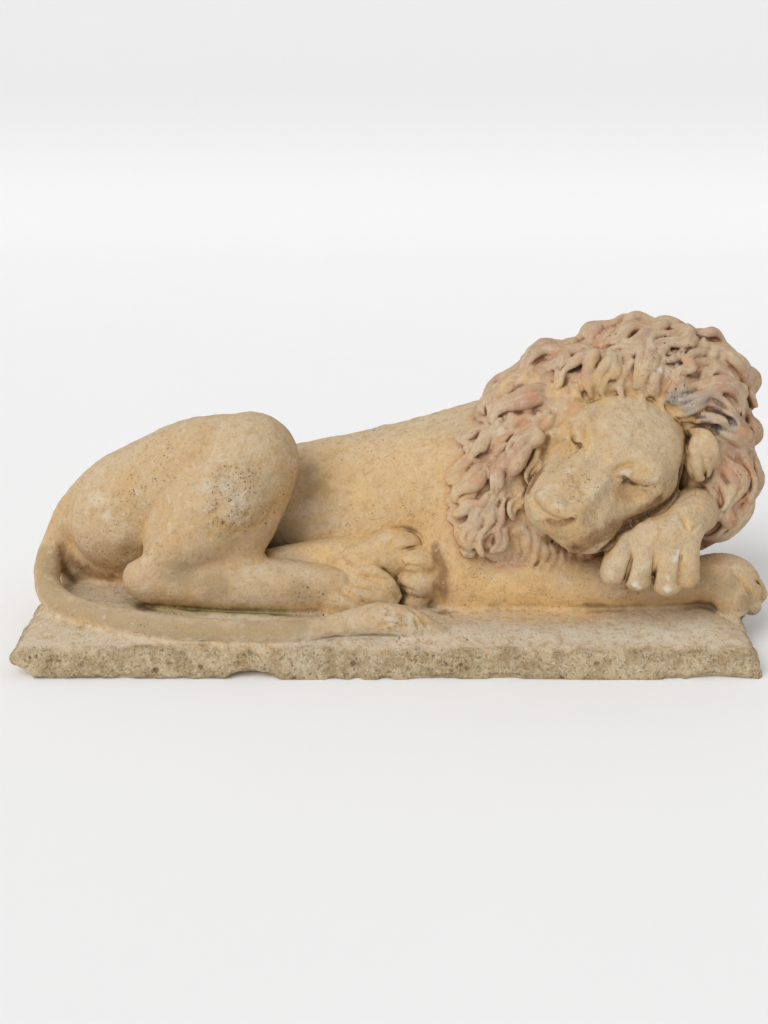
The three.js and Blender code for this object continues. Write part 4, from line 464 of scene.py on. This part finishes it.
def mane(E,fine=True):
    F=FLOW; n=0
    t=F["rows"][0]; row=0
    while t<F["rows"][1]:
        s=F["across"][0]+(row%2)*F["across"][2]/2
        while s<F["across"][1]:
            n+=1
            s1=s+(chance(n)-.5)*9; t1=t+(chance(n+300)-.5)*9
            p=drop(s1,t1)
            if abs(p[0]-s1)+abs(p@SU-t1)<6 and p[1]<75 and s1>F["edge"][0]+max(0,t1-F["edge"][1])*F["edge"][2]:
                h=flow(s1,t1)+(chance(n+600)-.5)*30; w=F["sway"]*(1 if n%2 else -1)
                strands(E,walk(p,F["length"]*(.8+.4*chance(n+900)),sheet_heading(h-w,h+w,0),11),F["width"],2 if fine else 1,F["rise"]*(.7+.6*chance(n+1200)),1.5,wave=.7,seed=n)
            s+=F["across"][2]
        t+=F["rows"][2]; row+=1
    n=0; B=BACK; heart=np.array(B["heart"],float)
    for height,count in B["rows"]:
        for j in range(count):
            n+=1
            az=math.radians(2+176*(j+.5)/count+(chance(n)-.5)*10); el=math.radians(height+(chance(n+50)-.5)*8)
            d=np.array([math.cos(az)*math.cos(el),math.sin(az)*math.cos(el),math.sin(el)]); s=350.0
            for _ in range(80):
                p=heart+d*s; f=mane_at(p)
                if f<.4: break
                s-=f*.8
            if p[0]<150: continue
            sway=B["sway"] if n%2 else -B["sway"]
            def hd(t,o,sway=sway):
                g=np.array([0,.25,-1.]); return turn(unit(g-o*(g@o)),o,sway*math.cos(2*math.pi*t*.8))
            strands(E,walk(p,B["length"]*(.85+.3*chance(n+90)),hd,11),B["width"],3 if fine else 1,B["rise"],1,wave=.8,seed=n)
    for i,(s,t,h0,h1,sw,ln,wd,ns,rise,lift) in enumerate(LOCKS):
        curl=(1 if h1>h0 else -1)*35
        strands(E,walk(drop(s,t),ln,sheet_heading(h0,h1,sw,curl),13),wd,(ns+1 if wd>30 else ns) if fine else 1,rise,lift*.8,wave=1,seed=i*2.4)
        if fine and wd>18:
            a=math.radians(h0)
            for q in (-1,1):
                strands(E,walk(drop(s-q*math.sin(a)*wd*.55+math.cos(a)*ln*.2,t+q*math.cos(a)*wd*.55+math.sin(a)*ln*.2),ln*.72,sheet_heading(h0+q*8,h1+q*14,sw,curl*1.5),11),wd*.52,1 if wd<24 else 2,rise*.66,lift*.4,wave=1,seed=i*2.4+q)
def build(E,fine=True):
    global W
    P=PLINTH
    E.slab(P["half"],P["top"],14,P["batter"],P["edge"],P["droop"],P["reach"])
    W=E; E.walk=None
    for name,k,ms in FORM:
        made=E.group(k,lambda: [E.mass(m) for m in (MANE if ms=="MANE" else ms)])
        if name=="mane mass": E.hair=made
        if name in COAT:
            if E.walk is None: E.walk=made.copy()
            else:
                h=np.maximum(F4(12)-np.abs(E.walk-made),0)*F4(1/12); E.walk=np.minimum(E.walk,made)-h*h*F4(3)
    E.face=E.group(9,lambda: face(E))
    E.group(4,lambda: [E.mass(m) for m in EAR])
    # hair is gathered in a field of its own, so that its colour can follow it
    body=E.v; E.v=E.hair; mane(E,fine); E.v=np.minimum(E.v,np.maximum(E.walk-F4(6.0),E.v-F4(6.0))); E.hair=np.minimum(E.v,blur(E.v,max(1,round(2.4/E.h)))+F4(.7)); E.v=body
    E.put((slice(None),)*3,E.hair,1.4)
    for m in DETAIL:
        if m[0]=="groove": E.tube(m[2],m[3],3,cut=True)
        else: E.mass(m)
    for c,r,k in CHIPS: E.ell(c,r,k,cut=True)

# ---------------------------------------------------------------- the stone's surface
def lattice(i, j, k, seed):
    """a fixed pseudo-random number in 0..1 for each lattice point"""
    h = (i * 374761393 + j * 668265263 + k * 2147483647 + seed * 1274126177) & 0xFFFFFFFF
    h = ((h ^ (h >> 13)) * 1274126177) & 0xFFFFFFFF
    return ((h ^ (h >> 16)) & 0xFFFF).astype(np.float32) / 65535.0


def noise(p, size, seed):
    """smooth noise in -1..1 with features of that size (mm)"""
    q = p / size
    i = np.floor(q).astype(np.int64)
    f = (q - i).astype(np.float32)
    f = f * f * (3 - 2 * f)
    out = 0
    for a in (0, 1):
        for b in (0, 1):
            for c in (0, 1):
                w = (f[:, 0] if a else 1 - f[:, 0]) * (f[:, 1] if b else 1 - f[:, 1]) * (f[:, 2] if c else 1 - f[:, 2])
                out = out + w * lattice(i[:, 0] + a, i[:, 1] + b, i[:, 2] + c, seed)
    return out * 2 - 1


def air_bubbles(p, spacing, radius, share, seed):
    """0..1 depth of round pits scattered on a jittered lattice"""
    q = p / spacing
    i = np.floor(q).astype(np.int64)
    out = np.zeros(len(p), np.float32)
    for a in (-1, 0, 1):
        for b in (-1, 0, 1):
            for c in (-1, 0, 1):
                n = i + np.array([a, b, c])
                at = np.stack([n[:, x] + lattice(n[:, 0], n[:, 1], n[:, 2], seed + x) for x in range(3)], 1) * spacing
                r = radius * (0.5 + lattice(n[:, 0], n[:, 1], n[:, 2], seed + 4))
                d = np.linalg.norm(p - at, axis=1) / r
                out = np.maximum(out, np.where(lattice(n[:, 0], n[:, 1], n[:, 2], seed + 5) < share, np.clip(1 - d * d, 0, 1), 0))
    return out


def step01(a, b, x):
    t = np.clip((x - a) / (b - a), 0, 1)
    return t * t * (3 - 2 * t)


def sample(E, grid, p):
    """a field's value at each point, between its grid points"""
    q = (p - E.lo) / E.h
    i = np.clip(np.floor(q).astype(np.int64), 0, E.n - 2)
    f = np.clip(q - i, 0, 1).astype(np.float32)
    out = 0
    for a in (0, 1):
        for b in (0, 1):
            for c in (0, 1):
                w = (f[:, 0] if a else 1 - f[:, 0]) * (f[:, 1] if b else 1 - f[:, 1]) * (f[:, 2] if c else 1 - f[:, 2])
                out = out + w * grid[i[:, 0] + a, i[:, 1] + b, i[:, 2] + c]
    return out


def slope(E, grid, p, e=1.5):
    n = np.stack([sample(E, grid, p + d) - sample(E, grid, p - d) for d in np.eye(3) * e], 1)
    return n / np.maximum(np.linalg.norm(n, axis=1, keepdims=True), 1e-6)


def slab_side(p):
    """1 on the slab's rough sides and worn edges, 0 on its top and on the lion"""
    half, top = PLINTH["half"], PLINTH["top"]
    rim = np.maximum(np.abs(p[:, 0]) - half[0] + PLINTH["batter"][0] * p[:, 2], np.abs(p[:, 1]) - half[1] + PLINTH["batter"][1] * p[:, 2])
    return step01(-10, -3, rim + noise(p, 12, 61) * 2.5) * step01(top + 3, top - 5, p[:, 2])


def spot_mask(p, name, ragged, fray):
    """0..1 inside the spots and along the lines of a stain, a painted shade or a painted light, with a frayed outline
    """
    m = np.zeros(len(p))
    for x, y, z, r in STAINS_PAINTED_SHADE_AND_LIGHT.get(name, ()):
        d = np.linalg.norm(p - np.array([x, y, z]), axis=1) / r
        m = np.maximum(m, 1 - step01(0.35, 1.0, d + ragged * fray))
    for r, line in STAIN_LINES_PAINTED_SHADE_AND_LIGHT.get(name, ()):
        for a, b in zip(line, line[1:]):
            a, ab = np.array(a, float), np.subtract(b, a).astype(float)
            t = np.clip((p - a) @ ab / (ab @ ab), 0, 1)
            d = np.linalg.norm(p - a - t[:, None] * ab, axis=1) / r
            m = np.maximum(m, 1 - step01(0.35, 1.0, d + ragged * fray))
    return m


def crumble(E):
    """small breaks along the slab's lower and upper edges, by chance"""
    hx, hy = PLINTH["half"]
    for i in range(CRUMBS):
        low = i % 3 > 0
        u, v, w = chance(i + 0.3), chance(i + 71.7), chance(i + 143.1)
        along = i % 8
        if along < 6:
            x, y = (2 * u - 1) * hx, -hy if along < 4 else hy
        else:
            x, y = -hx if along == 6 else hx, (2 * u - 1) * hy
        z = 0 if low else PLINTH["top"] - 7
        inset = 0 if low else 8
        at = (x - math.copysign(inset, x) * (along >= 6), y - math.copysign(inset, y) * (along < 6), z)
        long, deep = 5 + 13 * v * v, 3 + 4 * w
        E.ell(at, (long, deep, 2.5 + 3.5 * w) if along < 6 else (deep, long, 2.5 + 3.5 * w), 2.5, (1, 0.1 * (v - 0.5), 0.2 * (w - 0.5)), cut=True)


def weather(E, V):
    """casting lumps, worn slab sides and air bubbles, as real relief"""
    n = slope(E, E.v, V)
    side = slab_side(V)
    hair = 1 - step01(0.5, 3.0, sample(E, E.hair, V))
    worn = spot_mask(V, "worn", noise(V, 15, 7), 0.5)
    d = noise(V, 52, 1) * 0.9 + noise(V, 23, 2) * 0.75 + noise(V, 10, 3) * 0.6 + noise(V, 5, 12) * 0.35
    d = d * (1 - 0.5 * hair) + hair * noise(V, 7, 8) * 0.35
    d = d + worn * (noise(V, 15, 9) * 1.7 + noise(V, 6, 10) * 1.2 - 0.4)
    d = d + side * (noise(V, 30, 4) * 1.6 + noise(V, 12, 5) * 1.3 + noise(V, 5.5, 6) * 0.9 - 0.8)
    d = d - air_bubbles(V, 21, 1.7, 0.30, 11) * 1.4 * (1 - 0.6 * hair)
    some = worn > 0.05
    d[some] -= worn[some] * air_bubbles(V[some], 10, 2.6, 0.5, 21) * 2.8
    some = side > 0.05
    d[some] -= side[some] * (air_bubbles(V[some], 14, 3.4, 0.42, 31) * 2.4 + air_bubbles(V[some], 8, 1.8, 0.5, 41) * 1.4)
    d = d * step01(-0.2, 2.5, V[:, 2])
    V = V + n * d[:, None]
    V[:, 2] = np.maximum(V[:, 2], 0)
    return V


def mesh_of(name, V, F):
    me = bpy.data.meshes.new(name)
    me.vertices.add(len(V))
    me.vertices.foreach_set("co", V.astype(np.float32).ravel())
    me.loops.add(F.size)
    me.loops.foreach_set("vertex_index", F.astype(np.int32).ravel())
    me.polygons.add(len(F))
    me.polygons.foreach_set("loop_start", np.arange(0, F.size, F.shape[1], dtype=np.int32))
    me.update(calc_edges=True)
    return me


def largest_skin(V, F):
    """leave out closed pockets inside the stone"""
    own = np.arange(len(V))
    ends = np.vstack([F[:, (0, 1)], F[:, (1, 2)], F[:, (2, 0)]])
    while True:
        low = np.minimum(own[ends[:, 0]], own[ends[:, 1]])
        was = own.copy()
        np.minimum.at(own, ends[:, 0], low)
        np.minimum.at(own, ends[:, 1], low)
        own = own[own]
        if np.array_equal(own, was):
            break
    names, sizes = np.unique(own, return_counts=True)
    keep = own == names[np.argmax(sizes)]
    new = np.cumsum(keep) - 1
    return V[keep], new[F[keep[F[:, 0]]]]


def carved(V):
    """the parts with the finest carving: face, near side of the mane, paws, hind feet, tail tuft"""
    head = (V[:, 0] > 92) & (V[:, 1] < 75) & (V[:, 2] > 66)
    paw = (V[:, 0] > 350) & (V[:, 1] < 0)
    feet = (V[:, 0] > -70) & (V[:, 0] < 70) & (V[:, 1] < -20) & (V[:, 2] > 41) & (V[:, 2] < 130)
    return head | paw | feet | (spot_mask(V, "worn", 0, 0) > 0.3) | ((V[:, 1] < -148) & (V[:, 2] > 1) & (V[:, 2] < 40))


def make_lion():
    E = Field(LO, HI, STEP)
    build(E)
    crumble(E)
    E.v = np.maximum(E.v, -E.ax[2][None, None, :])
    V, Q = skin(E.v, E.lo, E.h)
    me = mesh_of("dense", weather(E, V) * 0.001, Q)
    dense = bpy.data.objects.new("dense", me)
    bpy.context.scene.collection.objects.link(dense)
    # the plain parts are thinned first, so that the face, mane and feet keep their carving
    fine = carved(V)
    plain = dense.vertex_groups.new(name="plain")
    plain.add(np.flatnonzero(~fine).tolist(), 1.0, "REPLACE")
    held = 2 * np.count_nonzero(fine)
    total = 2 * len(Q)
    for ratio, group in (((held + PLAIN_FACETS) / total, "plain"), (FACETS / (held + PLAIN_FACETS), "")):
        thin = dense.modifiers.new("thin", "DECIMATE")
        thin.ratio = min(1.0, ratio)
        thin.vertex_group = group
        thin.vertex_group_factor = 1.0
        thin.use_collapse_triangulate = True
    dg = bpy.context.evaluated_depsgraph_get()
    out = bpy.data.meshes.new_from_object(dense.evaluated_get(dg))
    V = np.empty(len(out.vertices) * 3, np.float32)
    out.vertices.foreach_get("co", V)
    F = np.empty(len(out.loops), np.int32)
    out.loops.foreach_get("vertex_index", F)
    bpy.data.objects.remove(dense)
    bpy.data.meshes.remove(me)
    bpy.data.meshes.remove(out)
    V, F = largest_skin(V.reshape(-1, 3), F.reshape(-1, 3))
    me = mesh_of("lion", V, F)
    me.polygons.foreach_set("use_smooth", np.ones(len(F), bool))
    paint_masks(E, me, V.astype(float) * 1000)
    ob = bpy.data.objects.new("lion_casting", me)
    bpy.context.scene.collection.objects.link(ob)
    return ob


def paint_masks(E, me, V):
    """where the stone is hair, hollow, worn, slab side, stained or chipped, and where shade and light are painted on
    it, as vertex attributes
    """
    n = slope(E, E.v, V, 2.0)
    hollow = 0
    for s, w in ((2.5, 0.25), (5, 0.30), (10, 0.28), (20, 0.17)):
        hollow = hollow + w * np.clip((s - sample(E, E.v, V + n * s)) / s, 0, 1)
    proud = 0
    for s in (2.5, 5):
        proud = proud + 0.5 * np.clip((s + sample(E, E.v, V - n * s)) / s, 0, 1)
    ragged = noise(V, 11, 41) * 0.5 + noise(V, 4.5, 42) * 0.35
    side = slab_side(V)
    masks = {
        "hair": (1 - step01(2.0, 9.0, sample(E, E.hair, V) + 3.0 * ragged)) * step01(3, 26, sample(E, E.face, V) + 9 * ragged),
        "hollow": hollow,
        "proud": proud,
        "side": side,
        "bed": step01(PLINTH["top"] + 7, PLINTH["top"] + 1, V[:, 2] + 3 * ragged) * (1 - side),
    }
    masks["void"] = side * air_bubbles(V, 14, 3.4, 0.42, 31)
    for name in sorted(set(STAINS_PAINTED_SHADE_AND_LIGHT) | set(STAIN_LINES_PAINTED_SHADE_AND_LIGHT)):
        masks[name] = spot_mask(V, name, ragged, 0.3 if name == "chip" else 0.6)
    for name, m in masks.items():
        a = me.attributes.new(name, "FLOAT", "POINT")
        a.data.foreach_set("value", np.asarray(m, np.float32))


# ---------------------------------------------------------------- material
def srgb(r, g, b):
    f = lambda c: c / 12.92 if c <= 0.04045 else ((c + 0.055) / 1.055) ** 2.4
    return (f(r / 255), f(g / 255), f(b / 255), 1)


class Nodes:
    """a short way to write a shader's nodes"""

    def __init__(self, mat):
        self.t = mat.node_tree
        self.n = self.t.nodes
        self.place = self.n.new("ShaderNodeTexCoord").outputs["Object"]

    def put(self, socket, value):
        if hasattr(value, "is_linked"):
            self.t.links.new(value, socket)
        else:
            socket.default_value = value

    def attr(self, name):
        a = self.n.new("ShaderNodeAttribute")
        a.attribute_name = name
        return a.outputs["Fac"]

    def noise(self, scale, detail=4.0, rough=0.6, warp=0.0, shift=None, out="Fac"):
        a = self.n.new("ShaderNodeTexNoise")
        self.put(a.inputs["Vector"], self.moved(shift) if shift else self.place)
        a.inputs["Scale"].default_value = scale
        a.inputs["Detail"].default_value = detail
        a.inputs["Roughness"].default_value = rough
        a.inputs["Distortion"].default_value = warp
        return a.outputs[out]

    def moved(self, by):
        v = self.n.new("ShaderNodeVectorMath")
        v.operation = "ADD"
        self.put(v.inputs[0], self.place)
        v.inputs[1].default_value = by
        return v.outputs[0]

    def stirred(self, scale, reach):
        """the place, pushed about by noise so that cells lose their true shapes"""
        v = self.n.new("ShaderNodeVectorMath")
        v.operation = "MULTIPLY_ADD"
        self.put(v.inputs[0], self.noise(scale, 2, 0.5, out="Color"))
        v.inputs[1].default_value = (reach, reach, reach)
        self.put(v.inputs[2], self.place)
        return v.outputs[0]

    def cells(self, scale, place):
        a = self.n.new("ShaderNodeTexVoronoi")
        self.put(a.inputs["Vector"], place)
        a.inputs["Scale"].default_value = scale
        c = self.n.new("ShaderNodeSeparateColor")
        self.put(c.inputs[0], a.outputs["Color"])
        return a.outputs["Distance"], c.outputs[0], c.outputs[1]

    def ramp(self, x, lo, hi, a=0.0, b=1.0):
        r = self.n.new("ShaderNodeMapRange")
        r.interpolation_type = "SMOOTHSTEP"
        self.put(r.inputs["Value"], x)
        for k, v in (("From Min", lo), ("From Max", hi), ("To Min", a), ("To Max", b)):
            r.inputs[k].default_value = v
        return r.outputs["Result"]

    def math(self, op, a, b=0.5):
        m = self.n.new("ShaderNodeMath")
        m.operation = op
        self.put(m.inputs[0], a)
        self.put(m.inputs[1], b)
        return m.outputs[0]

    def mix(self, fac, a, b):
        m = self.n.new("ShaderNodeMix")
        m.data_type = "RGBA"
        for name, value in (("Factor_Float", fac), ("A_Color", a), ("B_Color", b)):
            self.put(next(i for i in m.inputs if i.identifier == name), value)
        return next(o for o in m.outputs if o.identifier == "Result_Color")


def stone():
    mat = bpy.data.materials.new("weathered_cast_stone")
    mat.use_nodes = True
    N = Nodes(mat)
    hair, hollow, proud, side, bed, worn = (N.attr(k) for k in ("hair", "hollow", "proud", "side", "bed", "worn"))
    broad = N.noise(9, 5, 0.6, 0.4)
    patch = N.noise(30, 7, 0.68, 0.6)
    cool = N.noise(24, 7, 0.7, 0.5, (3.1, 1.7, 0.4))
    mottle = N.noise(115, 6, 0.70)
    speck = N.noise(260, 5, 0.72)
    grain = N.noise(900, 3, 0.6)
    face = N.n.new("ShaderNodeNewGeometry")
    level = N.n.new("ShaderNodeSeparateXYZ")
    N.put(level.inputs[0], face.outputs["Normal"])
    # warm buff, drifting between pale, ochre and a cooler bloom
    body = N.mix(N.ramp(broad, 0.36, 0.66), BUFF, OCHRE)
    body = N.mix(N.ramp(patch, 0.48, 0.70, 0, 0.70), body, PALE)
    body = N.mix(N.ramp(cool, 0.50, 0.72, 0, 0.45), body, BLOOM)
    body = N.mix(N.ramp(level.outputs["Z"], 0.35, 1.0, 0, 0.32), body, DUST)
    body = N.mix(N.ramp(hollow, 0.16, 0.46, 0, 0.72), body, AMBER)
    # the mane: rose on the strands, stronger in the grooves, buff where rubbed
    tint = N.mix(N.ramp(patch, 0.42, 0.58), ROSE, MANE_BUFF)
    tint = N.mix(N.ramp(cool, 0.46, 0.60, 0, 0.50), tint, MANE_COOL)
    tint = N.mix(N.ramp(hollow, 0.16, 0.38, 0, 0.90), tint, CLAY)
    tint = N.mix(N.ramp(proud, 0.06, 0.28, 0, 0.62), tint, MANE_PALE)
    tint = N.mix(N.ramp(hollow, 0.36, 0.70, 0, 0.60), tint, MANE_DARK)
    col = N.mix(hair, body, tint)
    # the slab: a dull bed on top, a coarse grey-buff mix with grit on its sides
    col = N.mix(N.math("MULTIPLY", bed, N.ramp(mottle, 0.35, 0.65, 0.35, 0.85)), col, BED)
    mixed = N.mix(N.ramp(N.noise(40, 8, 0.72), 0.42, 0.58), SIDE, SIDE_DARK)
    mixed = N.mix(N.ramp(speck, 0.48, 0.66, 0, 0.5), mixed, SIDE_PALE)
    rough_place = N.stirred(150, 0.004)
    _, bright, dull = N.cells(430, rough_place)
    mixed = N.mix(N.ramp(bright, 0.86, 0.93, 0, 0.42), mixed, GRIT)
    mixed = N.mix(N.ramp(dull, 0.86, 0.93, 0, 0.50), mixed, PORE)
    mixed = N.mix(N.ramp(N.attr("void"), 0.15, 0.75, 0, 0.75), mixed, PORE)
    col = N.mix(side, col, mixed)
    # stains and growth, with painted shadow, painted shade and painted light mixed in the same way
    for name, strength in (("warm", 0.42), ("amber", 0.52), ("rust", 0.55), ("beard", 0.95), ("dull", 0.85), ("umber", 0.92), ("moss", 0.85), ("grime", 0.50), ("pale", 0.64), ("dark", 0.85)):
        even = 0.9 if name in ("dark", "umber", "warm") else 0.45
        m = N.math("MULTIPLY", N.attr(name), N.ramp(mottle, 0.30, 0.62, even * strength, strength))
        col = N.mix(m, col, STAIN_COLOR_PAINTED_SHADE_AND_LIGHT[name])
    grey = N.mix(N.ramp(hollow, 0.10, 0.34), GREY_PALE, GREY_DARK)
    col = N.mix(N.math("MULTIPLY", N.attr("grey"), N.ramp(mottle, 0.30, 0.56, 0.45, 0.95)), col, grey)
    # fine mottling all over
    col = N.mix(N.ramp(mottle, 0.49, 0.35, 0, 0.48), col, SPECK)
    col = N.mix(N.ramp(mottle, 0.54, 0.68, 0, 0.55), col, PALE)
    col = N.mix(N.ramp(speck, 0.48, 0.33, 0, 0.50), col, SPECK)
    col = N.mix(N.ramp(N.noise(58, 8, 0.74, 0.0, (1.3, 5.2, 2.9)), 0.47, 0.33, 0, 0.34), col, SPECK)
    # the deepest hollows are coloured dark brown, less on the hair
    col = N.mix(N.math("MULTIPLY", N.ramp(hollow, 0.46, 0.86, 0, 0.78), N.ramp(hair, 0.0, 1.0, 1.0, 0.45)), col, DEEP_HOLLOW_BROWN)
    # air bubbles: small dark pits of uneven outline, in drifts
    place = N.stirred(420, 0.0016)
    drift = N.math("MAXIMUM", N.ramp(N.noise(17, 4), 0.50, 0.66, 0.0, 1.0), worn)
    holes = None
    for scale, size, share in ((110, 0.17, 0.74), (230, 0.24, 0.76), (400, 0.32, 0.72)):
        near, pick, wide = N.cells(scale, place)
        hole = N.math("MULTIPLY", N.ramp(near, size, size * 0.45), N.ramp(pick, share, share + 0.02))
        hole = N.math("MULTIPLY", hole, N.ramp(wide, 0.1, 0.9, 0.4, 1.0))
        holes = hole if holes is None else N.math("MAXIMUM", holes, hole)
    holes = N.math("MULTIPLY", holes, N.math("MAXIMUM", drift, 0.16))
    col = N.mix(N.math("MULTIPLY", holes, 0.80), col, PORE)
    col = N.mix(N.math("MULTIPLY", N.attr("chip"), N.ramp(speck, 0.25, 0.5, 0.75, 0.97)), col, CHIP)
    b = N.n["Principled BSDF"]
    N.put(b.inputs["Base Color"], col)
    N.put(b.inputs["Roughness"], N.ramp(speck, 0.3, 0.7, 0.84, 0.97))
    b.inputs["Specular IOR Level"].default_value = 0.2
    height = N.math("ADD", N.math("MULTIPLY", grain, 0.35), N.math("MULTIPLY", speck, 0.80))
    height = N.math("ADD", height, N.math("MULTIPLY", mottle, 0.9))
    coarse = N.math("ADD", N.math("MULTIPLY", bright, 0.8), N.math("MULTIPLY", N.noise(330, 3), 1.8))
    height = N.math("ADD", height, N.math("MULTIPLY", N.math("MAXIMUM", side, N.math("MULTIPLY", worn, 0.45)), coarse))
    height = N.math("SUBTRACT", height, N.math("MULTIPLY", holes, 1.6))
    bump = N.n.new("ShaderNodeBump")
    bump.inputs["Strength"].default_value = 1.0
    bump.inputs["Distance"].default_value = 0.0021
    N.put(bump.inputs["Height"], height)
    N.put(b.inputs["Normal"], bump.outputs["Normal"])
    return mat


# colours of the stone, its stains, its darkest hollows, and the shade and light painted onto it
BUFF, OCHRE, PALE = srgb(208, 182, 146), srgb(206, 171, 124), srgb(220, 202, 174)
BLOOM, DUST, AMBER = srgb(203, 188, 163), srgb(216, 198, 169), srgb(214, 175, 118)
ROSE, MANE_BUFF, MANE_COOL = srgb(196, 157, 133), srgb(201, 173, 139), srgb(188, 169, 147)
CLAY, MANE_PALE, MANE_DARK = srgb(196, 140, 107), srgb(213, 191, 160), srgb(132, 92, 68)
BED, SIDE, SIDE_DARK, SIDE_PALE = srgb(219, 205, 181), srgb(212, 192, 157), srgb(176, 153, 116), srgb(219, 205, 178)
GRIT, PORE, SPECK = srgb(222, 211, 190), srgb(98, 75, 48), srgb(182, 150, 107)
GREY_PALE, GREY_DARK, DEEP_HOLLOW_BROWN, CHIP = srgb(172, 163, 152), srgb(92, 88, 84), srgb(94, 66, 40), srgb(230, 221, 206)
# the colours of the stains, and of the painted shadow, painted shade and painted light
STAIN_COLOR_PAINTED_SHADE_AND_LIGHT = {
    # warm tone, partly painted light
    "warm": srgb(229, 188, 128),
    # orange stain, lightened as painted light for the forearm
    "amber": srgb(236, 196, 134),
    "rust": srgb(205, 142, 104),
    "dull": srgb(172, 150, 116),
    "beard": srgb(208, 172, 124),
    # painted shade, partly a brown stain
    "umber": srgb(144, 106, 71),
    "moss": srgb(146, 138, 82),
    # painted shade, partly grime
    "grime": srgb(122, 101, 73),
    "pale": srgb(219, 208, 188),
    # painted shadow
    "dark": srgb(96, 72, 48),
}

# ---------------------------------------------------------------- scene
lion = make_lion()
lion.data.materials.append(stone())
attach(lion, "root")
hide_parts("sleeping_lion")

# a wide sheet of pale paper that sweeps up far behind
profile = [(-9.0, 0.0), (3.0, 0.0)]
profile += [(3.0 + 2.5 * math.sin(t), 2.5 - 2.5 * math.cos(t)) for t in (math.radians(6 * i) for i in range(1, 16))]
profile += [(5.5, 9.0)]
paper = np.array([(x, y, z) for y, z in profile for x in (-9.0, 9.0)])
floor_mesh = mesh_of("floor", paper, np.array([(2 * i, 2 * i + 1, 2 * i + 3, 2 * i + 2) for i in range(len(profile) - 1)]))
floor_mesh.polygons.foreach_set("use_smooth", np.ones(len(floor_mesh.polygons), bool))
floor = bpy.data.objects.new("floor", floor_mesh)
bpy.context.scene.collection.objects.link(floor)
floor_mat = bpy.data.materials.new("pale_paper")
floor_mat.use_nodes = True
FN = Nodes(floor_mat)
height = FN.n.new("ShaderNodeSeparateXYZ")
FN.put(height.inputs[0], FN.place)
paper_colour = FN.mix(FN.noise(3, 2), (0.915, 0.915, 0.915, 1), (0.93, 0.93, 0.93, 1))
# the paper is painted a darker grey as it rises into the wall: painted shade, so that the backdrop stays dimmer than
# the floor in front
FN.put(FN.n["Principled BSDF"].inputs["Base Color"], FN.mix(FN.ramp(height.outputs["Z"], -0.1, 0.5), paper_colour, (0.75, 0.75, 0.75, 1)))
FN.n["Principled BSDF"].inputs["Roughness"].default_value = 0.95
FN.n["Principled BSDF"].inputs["Specular IOR Level"].default_value = 0.1
floor_mesh.materials.append(floor_mat)

world = bpy.data.worlds.new("studio")
bpy.context.scene.world = world
world.use_nodes = True
world.node_tree.nodes["Background"].inputs["Color"].default_value = (1, 1, 1, 1)
world.node_tree.nodes["Background"].inputs["Strength"].default_value = WORLD


# the key: a broad soft light from the upper left, in front
key = bpy.data.lights.new("key", "SUN")
key.angle = math.radians(KEY_SPREAD)
key.energy = KEY
key_object = bpy.data.objects.new("key", key)
key_object.rotation_euler = (-Vector(KEY_FROM)).to_track_quat("-Z", "Y").to_euler()
bpy.context.scene.collection.objects.link(key_object)

# a weaker, broader fill from nearer the front
fill = bpy.data.lights.new("fill", "SUN")
fill.angle = math.radians(FILL_SPREAD)
fill.energy = FILL
fill_object = bpy.data.objects.new("fill", fill)
fill_object.rotation_euler = (-Vector(FILL_FROM)).to_track_quat("-Z", "Y").to_euler()
bpy.context.scene.collection.objects.link(fill_object)

camera = bpy.data.cameras.new("camera")
camera.sensor_width = 36
camera.lens = FOCAL_PX / 1024 * 36
camera_object = bpy.data.objects.new("camera", camera)
camera_object.location = EYE
camera_object.rotation_euler = (math.pi / 2 - PITCH, 0, 0)
bpy.context.scene.collection.objects.link(camera_object)
bpy.context.scene.camera = camera_object
bpy.context.scene.view_settings.view_transform = "Standard"

bpy.context.view_layer.update()
